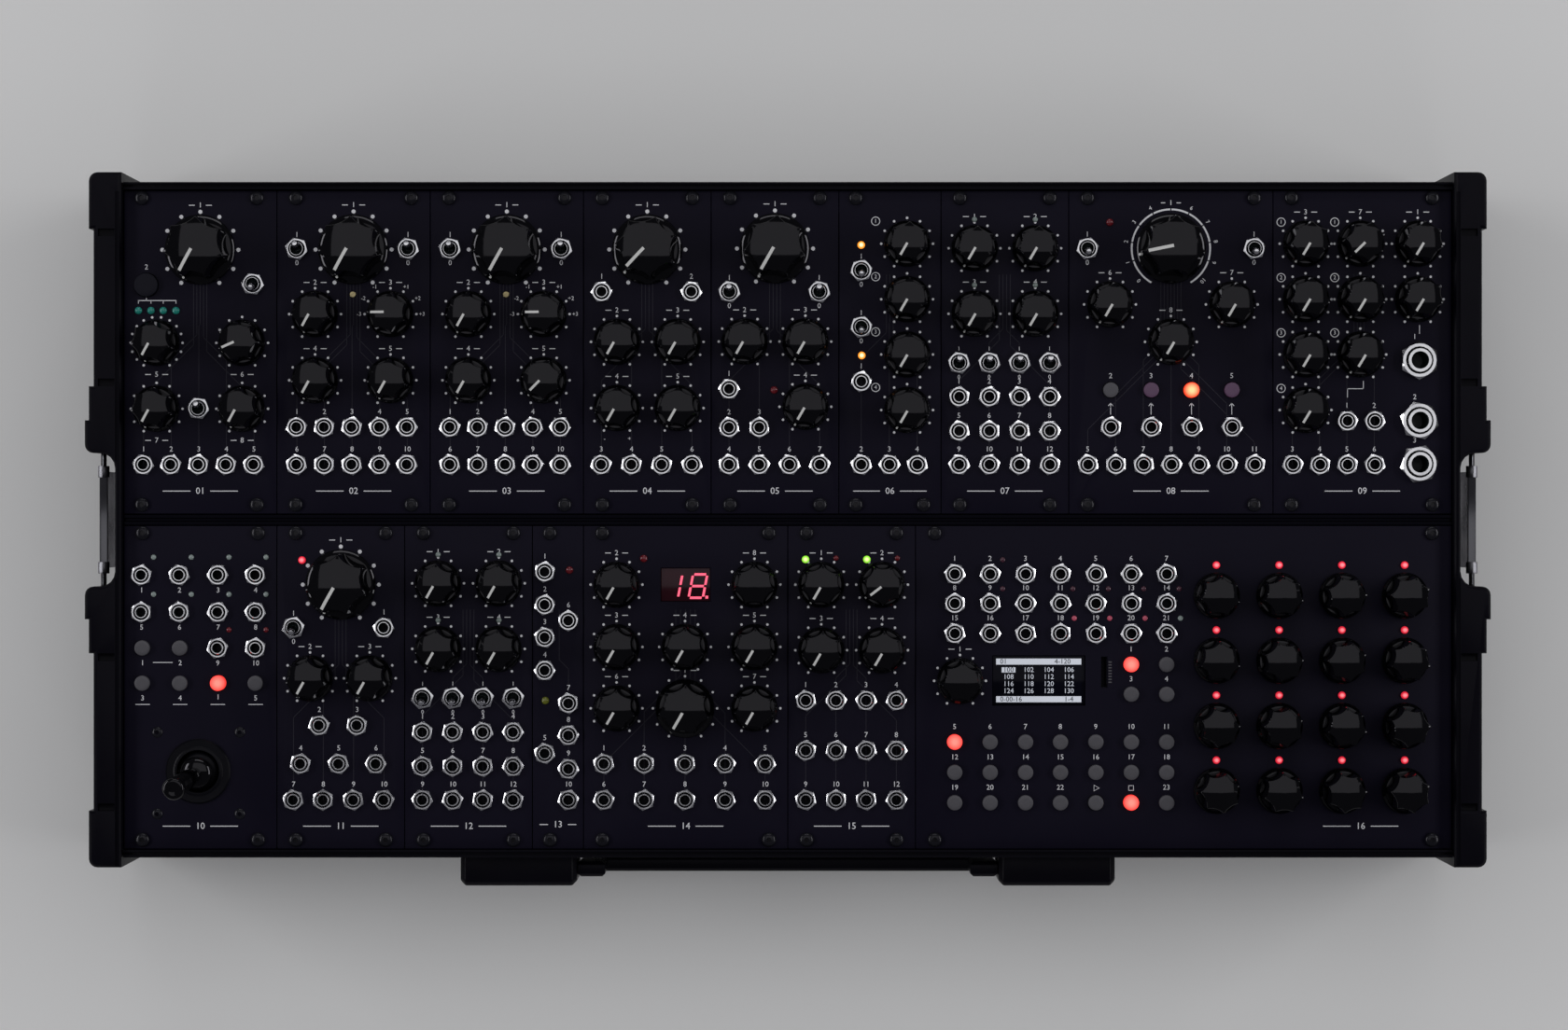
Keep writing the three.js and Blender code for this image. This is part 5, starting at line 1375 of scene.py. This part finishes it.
def switch_and_socket_print(spot, plan):
    side = plan.get("number_side", 1)
    toggles = plan.get("toggles", [])
    height = SMALL_LABEL if len(toggles) > 2 else LABEL_HEIGHT
    pieces = []
    for x, y, _ in toggles:
        pieces.append(number_by("1", spot.at(x, y), TOGGLE_LABEL_RISE, height))
        pieces.append(number_by("0", spot.at(x, y), -TOGGLE_LABEL_RISE, height))
    for i, (x, y) in list(enumerate(plan.get("sockets", [])))[plan.get("bare_sockets", 0):]:
        pieces.append(number_by(str(i + 1), spot.at(x, y), side * SOCKET_LABEL_RISE))
    for i, (x, y, _) in enumerate(plan.get("buttons", [])):
        pieces.append(number_by(str(i + 1), spot.at(x, y), side * BUTTON_LABEL_RISE))
    for i, (x, y) in enumerate(plan.get("big_sockets", [])):
        pieces.append(number_by(str(i + 1), spot.at(x, y), 9.4 * mm, aside=-1.6 * mm))
    return pieces


print("number heights:", round(LABEL_HEIGHT / mm, 2), "and", round(SMALL_LABEL / mm, 2), "mm")

# %% [markdown]
# Small signs and rules come last: circled numbers, arrows and strokes between controls. Each panel
# is printed in one go, and its own number stands between two rules where a name would be.

# %% Signs, rules and the whole print
def sign_print(spot, plan):
    pieces = []
    for x, y, text in plan.get("circled", []):
        pieces.append(copied(number_ring, placed(*spot.at(x, y), print_level)))
        pieces.append(number(text, spot.at(x, y), SMALL_LABEL))
    for x, y, text in plan.get("signs", []):
        pieces.append(number(text, spot.at(x, y), SMALL_LABEL))
    for x, y in plan.get("arrows", []):
        pieces += arrow(spot.at(x, y))
    for corners in plan.get("strokes", []):
        pieces += strokes([spot.at(x, y) for x, y in corners], STROKE, legend_white)
    if spot.name == "wavetable":
        pieces += bracket_over_lamps(spot)
    for x, y in plan.get("steps", []):
        pieces += step_numbers(spot.at(x, y))
    return pieces


def panel_print(spot, plan, module_number):
    pieces = moving_print(plan) + fixed_knob_print(spot, plan) + switch_and_socket_print(spot, plan)
    pieces += sign_print(spot, plan) + faint_lines(spot, plan)
    reach = min(0.36 * spot.width, 15 * mm)
    title_place = spot.at(*plan.get("title", TITLE))
    return pieces + ruled_number(f"{module_number:02d}", title_place, reach, TITLE_HEIGHT)


for module_number, (name, plan) in enumerate(MODULES.items(), 1):
    legend = gathered(name + "_legend", panel_print(Spot(name), plan, module_number))
    riding(legend, "case", "button_cap")
print("numbers modelled:", len(number_patterns))

# %% [markdown]
# Two displays are sunk in their windows: a pair of seven-segment digits under red glass, and a
# small pixel screen with two bars and a table of numbers. Only plain numbers are shown.

# %% Displays and card slot
SEGMENTS = {"1": "bc", "8": "abcdefg"}
SEGMENT_PLACES = {"a": (0, 1, 0), "b": (1, 0.5, 1), "c": (1, -0.5, 1), "d": (0, -1, 0),
                  "e": (-1, -0.5, 1), "f": (-1, 0.5, 1), "g": (0, 0, 0)}
DIGIT_WIDTH_SHARE = 0.61
DIGIT_LEAN_SHARE = 0.19
DIGIT_HEIGHT = 9.3 * mm
SEGMENT_WIDTH = 1.05 * mm
SEGMENT_DEPTH = 0.3 * mm
GLASS_PLAY = 0.3 * mm
GLASS_LEVEL = panel_top - 1.3 * mm
LIT_LEVEL = panel_top - 0.85 * mm


def sunk_glass(window, x, y, material):
    width, height = WINDOWS[window]
    glass = block((width - GLASS_PLAY, height - GLASS_PLAY, mm), (x, y, GLASS_LEVEL))
    rounded(glass, 0.2 * mm, 2)
    return dressed(cleaned(glass), material)


def seven_segments(text, centre):
    half = DIGIT_HEIGHT / 2
    reach = DIGIT_WIDTH_SHARE * half
    lean = Matrix(((1, DIGIT_LEAN_SHARE, 0, -DIGIT_LEAN_SHARE * centre[1]),
                   (0, 1, 0, 0), (0, 0, 1, 0), (0, 0, 0, 1)))
    pieces = []
    for x_share, y_share, upright in [SEGMENT_PLACES[s] for s in SEGMENTS[text]]:
        length = half - 0.9 * mm if upright else 2 * reach - 0.9 * mm
        size = (SEGMENT_WIDTH, length, SEGMENT_DEPTH) if upright else (length, SEGMENT_WIDTH, SEGMENT_DEPTH)
        piece = block(size, (centre[0] + x_share * reach, centre[1] + y_share * half, LIT_LEVEL))
        piece.data.transform(lean)
        rounded(piece, 0.3 * mm, 1)
        pieces.append(piece)
    return pieces


def digit_window(spot, plan):
    x, y = spot.at(*plan["digits"])
    glass = sunk_glass("digits", x, y, window_red)
    lit = seven_segments("1", (x - 5 * mm, y - 0.6 * mm))
    lit += seven_segments("8", (x + 4.9 * mm, y - 0.6 * mm))
    lit.append(block((1.1 * mm, 1.1 * mm, SEGMENT_DEPTH), (x + 8.4 * mm, y - 5 * mm, LIT_LEVEL)))
    lit = [dressed(with_reach(piece, mm), segment_red) for piece in lit]
    return gathered("digit_display", [glass] + lit)


SCREEN_TEXT = 1.95 * mm
CELL_WIDTH = 8 * mm
CELL_HEIGHT = 2.8 * mm
DARK_TEXTS = ((-14, 7.5, "01"), (9.5, 7.5, "4-120"), (-11, -7.5, "0-00-16"), (12, -7.5, "1-4"),
              (-12, 4.2, "100"))


def pixel_screen(spot, plan):
    x, y = spot.at(*plan["screen"])
    glass = sunk_glass("screen", x, y, screen_glass)
    bars = [block((34 * mm, 2.5 * mm, 0.2 * mm), (x, y + side * 7.5 * mm, LIT_LEVEL)) for side in (-1, 1)]
    bars.append(block((5.6 * mm, 2.2 * mm, 0.2 * mm), (x - 12 * mm, y + 4.2 * mm, LIT_LEVEL - 0.02 * mm)))
    lit = [rounded(bar, 0.09 * mm, 1) for bar in bars]
    for row in range(4):
        for column in range(1 if row == 0 else 0, 4):
            place = placed(x - 12 * mm + column * CELL_WIDTH, y + 4.2 * mm - row * CELL_HEIGHT,
                           LIT_LEVEL + 0.06 * mm)
            lit.append(copied(number_pattern(str(100 + 8 * row + 2 * column), SCREEN_TEXT), place))
    dark = []
    for across, up, text in DARK_TEXTS:
        place = placed(x + across * mm, y + up * mm, LIT_LEVEL + 0.12 * mm)
        dark.append(dressed(copied(number_pattern(text, SCREEN_TEXT), place), screen_glass))
    lit = [dressed(with_reach(piece, mm), pixel_white) for piece in lit]
    return gathered("pixel_screen", [glass] + lit + dark)


def card_guide(spot, plan):
    x, y = spot.at(*plan["card_slot"])
    width, height = WINDOWS["card_slot"]
    behind = panel_top - PANEL_THICKNESS
    shell = block((width + 1.6 * mm, height + 1.6 * mm, 7 * mm), (x, y, behind - 3.6 * mm))
    cut(shell, block((width - 0.8 * mm, height - 0.6 * mm, 7 * mm), (x, y, behind - 2 * mm)))
    rounded(shell, 0.15 * mm, 1)
    pieces = [dressed(cleaned(shell), button_black)]
    for i in range(8):
        place = (x + 2.3 * mm, y + (i - 3.5) * 1.15 * mm, panel_top + 0.06 * mm)
        pieces.append(dressed(block((1.3 * mm, 0.5 * mm, 0.15 * mm), place), button_grey))
    return gathered("card_guide", pieces)


riding(digit_window(Spot("effects"), MODULES["effects"]), "case", "button_cap")
riding(pixel_screen(Spot("sequencer"), MODULES["sequencer"]), "case", "button_cap")
riding(card_guide(Spot("sequencer"), MODULES["sequencer"]), "case", "dark_metal")
print("displays in place")

# %% [markdown]
# The case is moulded plastic, so no edge of it is sharp. Its nodes already have the right forms:
# a copy of each is merged, its flat faces are joined, and a bevel eases every edge before the
# copy takes the node's place. Each end cap also gets a shallow band along its top, cut before the
# bevel, and the floor of that band has a rougher skin.

# %% Softening the case
CAP_WALL = 2.5 * mm
BAND_DEPTH = 0.5 * mm


def band_middle(node_name):
    low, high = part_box(node_name)
    inner = max(low.x, -high.x) + CAP_WALL / 2
    return inner if low.x > 0 else -inner


def band_cutter(node_name):
    low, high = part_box(node_name)
    size = (CAP_WALL - 0.5 * mm, high.y - low.y - 6 * mm, 2 * BAND_DEPTH)
    return block(size, (band_middle(node_name), 0, high.z))


def grained_band(cap, node_name):
    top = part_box(node_name)[1].z
    cap.data.materials.append(skin_black)
    for face in cap.data.polygons:
        is_low = top - 1.4 * BAND_DEPTH < face.center.z < top - 0.7 * BAND_DEPTH
        if is_low and abs(face.center.x - band_middle(node_name)) < CAP_WALL / 2:
            face.material_index = 1


def softened(node_name, width, segments, material, smooth_angle=40):
    source = frame["nodes"][node_name]
    piece = source.copy()
    piece.data = source.data.copy()
    piece.parent = None
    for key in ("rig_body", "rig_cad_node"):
        if key in piece:
            del piece[key]
    bpy.context.scene.collection.objects.link(piece)
    piece.name = node_name + "_piece"
    only(piece)
    bpy.ops.object.mode_set(mode="EDIT")
    bpy.ops.mesh.select_all(action="SELECT")
    bpy.ops.mesh.remove_doubles(threshold=0.002 * mm)
    bpy.ops.mesh.dissolve_limited(angle_limit=1 * degree)
    leave_edit()
    if node_name.startswith("end_cap"):
        cut(piece, band_cutter(node_name))
        print(node_name, "faces after its band is cut:", len(piece.data.polygons))
    rounded(piece, width, segments, angle=25)
    bpy.ops.object.shade_smooth_by_angle(angle=smooth_angle * degree)
    return dressed(piece, material)


CASE_PIECES = {
    "case_tray": (0.35 * mm, 2, skin_black, "moulded_black", "case"),
    "end_cap_left": (0.9 * mm, 3, moulded_black, "moulded_black", "case"),
    "end_cap_right": (0.9 * mm, 3, moulded_black, "moulded_black", "case"),
    "rail_back": (0.15 * mm, 1, dark_anodised, "dark_metal", "case"),
    "rail_middle": (0.15 * mm, 1, dark_anodised, "dark_metal", "case"),
    "rail_front": (0.15 * mm, 1, dark_anodised, "dark_metal", "case"),
    "power_board": (0.2 * mm, 1, board_green, "circuit_board", "case"),
    "power_inlet": (0.25 * mm, 2, dark_anodised, "dark_metal", "case"),
    "handle_bracket_left": (0.8 * mm, 3, moulded_black, "moulded_black", "case"),
    "handle_bracket_right": (0.8 * mm, 3, moulded_black, "moulded_black", "case"),
    "handle_grip": (0.8 * mm, 3, moulded_black, "moulded_black", "handle_grip"),
    "latch_left": (0.5 * mm, 2, latch_steel, "dark_metal", "latch_left"),
    "latch_right": (0.5 * mm, 2, latch_steel, "dark_metal", "latch_right"),
}
for name, (width, segments, material, slot, body) in CASE_PIECES.items():
    piece = softened(name, width, segments, material)
    if name.startswith("end_cap"):
        grained_band(piece, name)
    riding(piece, body, slot, name)
print("case pieces:", len(CASE_PIECES))

# %% [markdown]
# The patterns were only for copying, so they go before the scene is lit.

# %% Putting the patterns away
patterns = [o for o in bpy.data.objects if o.type == "MESH" and "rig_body" not in o]
for pattern in patterns:
    bpy.data.objects.remove(pattern)
print("patterns removed:", len(patterns))

# %% [markdown]
# The studio is a pale floor whose rim sweeps up. One large soft light hangs above the camera and
# towards the back, so that the domed knobs mirror it in their upper halves. Two stronger ones at the
# sides draw thin highlights. The one in front only fills the shadows: nothing mirrors it, so it puts
# no glints in the sockets. The camera looks straight down, as the photograph's does.

# %% Floor
FLOOR_RADIUS = 5.0
FLOOR_SWEEP = 1.5
FLOOR_RISE = 1.25
FLOOR_LEVEL = -0.2 * mm


def pale_floor():
    bpy.ops.object.select_all(action="DESELECT")
    bpy.ops.mesh.primitive_circle_add(vertices=96, radius=FLOOR_RADIUS, fill_type="NGON",
                                      location=(0, 0, FLOOR_LEVEL))
    floor = settled(bpy.context.object)
    pick_faces(floor, lambda face: True)
    bpy.ops.mesh.inset(thickness=FLOOR_SWEEP)
    leave_edit()
    for vertex in floor.data.vertices:
        if vertex.co.xy.length > FLOOR_RADIUS - 0.01:
            vertex.co.z = FLOOR_RISE
    for face in floor.data.polygons:
        face.use_smooth = True
    floor.name = "floor"
    return floor


floor_finish = finish("floor_finish", (0.68, 0.68, 0.68), (0.72, 0.72, 0.72), grain=60, patch_scale=3,
                      gloss=(0.7, 0.8), relief=0.02, specular=0.2)
floor = dressed(pale_floor(), floor_finish)
print("floor:", 2 * FLOOR_RADIUS, "m across")

# %% Lights
PANEL_SIZE = (2.0, 0.5)
PANEL_HEIGHT = 1.25


def area_light(name, place, size, power, target):
    data = bpy.data.lights.new(name, "AREA")
    data.shape = "RECTANGLE"
    data.size, data.size_y = size
    data.energy = power
    lamp = bpy.data.objects.new(name, data)
    bpy.context.scene.collection.objects.link(lamp)
    lamp.location = place
    aim = Vector(target) - Vector(place)
    lamp.rotation_euler = aim.to_track_quat("-Z", "Y").to_euler()
    lamp.visible_camera = False
    return lamp


area_light("softbox", (0.1, 0.62, 2), (2.6, 1.6), 10.4, (0.1, 0.62, 0))
panels = {name: area_light(name, (x, y, PANEL_HEIGHT), PANEL_SIZE, power, (0, 0, 0.05))
          for name, x, y, power in (("left_panel", -2.2, 0.2, 22), ("right_panel", 2.2, 0.2, 22),
                                    ("back_panel", 0, 2.3, 9), ("front_panel", 0, -2.3, 9))}
panels["front_panel"].visible_glossy = False
world = bpy.data.worlds.new("studio")
bpy.context.scene.world = world
world.use_nodes = True
world.node_tree.nodes["Background"].inputs["Color"].default_value = (0.1, 0.1, 0.11, 1)
world.node_tree.nodes["Background"].inputs["Strength"].default_value = 1.0

# %% Camera
CAMERA_HEIGHT = 1.4
CAMERA_LENS = 80.8
camera_data = bpy.data.cameras.new("camera")
camera_data.lens = CAMERA_LENS
camera_data.sensor_width = 36
camera_data.sensor_fit = "HORIZONTAL"
camera = bpy.data.objects.new("camera", camera_data)
bpy.context.scene.collection.objects.link(camera)
camera.location = (-1.5 * mm, row_middle + 1.9 * mm, panel_top + CAMERA_HEIGHT)
bpy.context.scene.camera = camera
bpy.context.scene.view_settings.view_transform = "Standard"
print("camera at:", [round(v, 4) for v in camera.location])
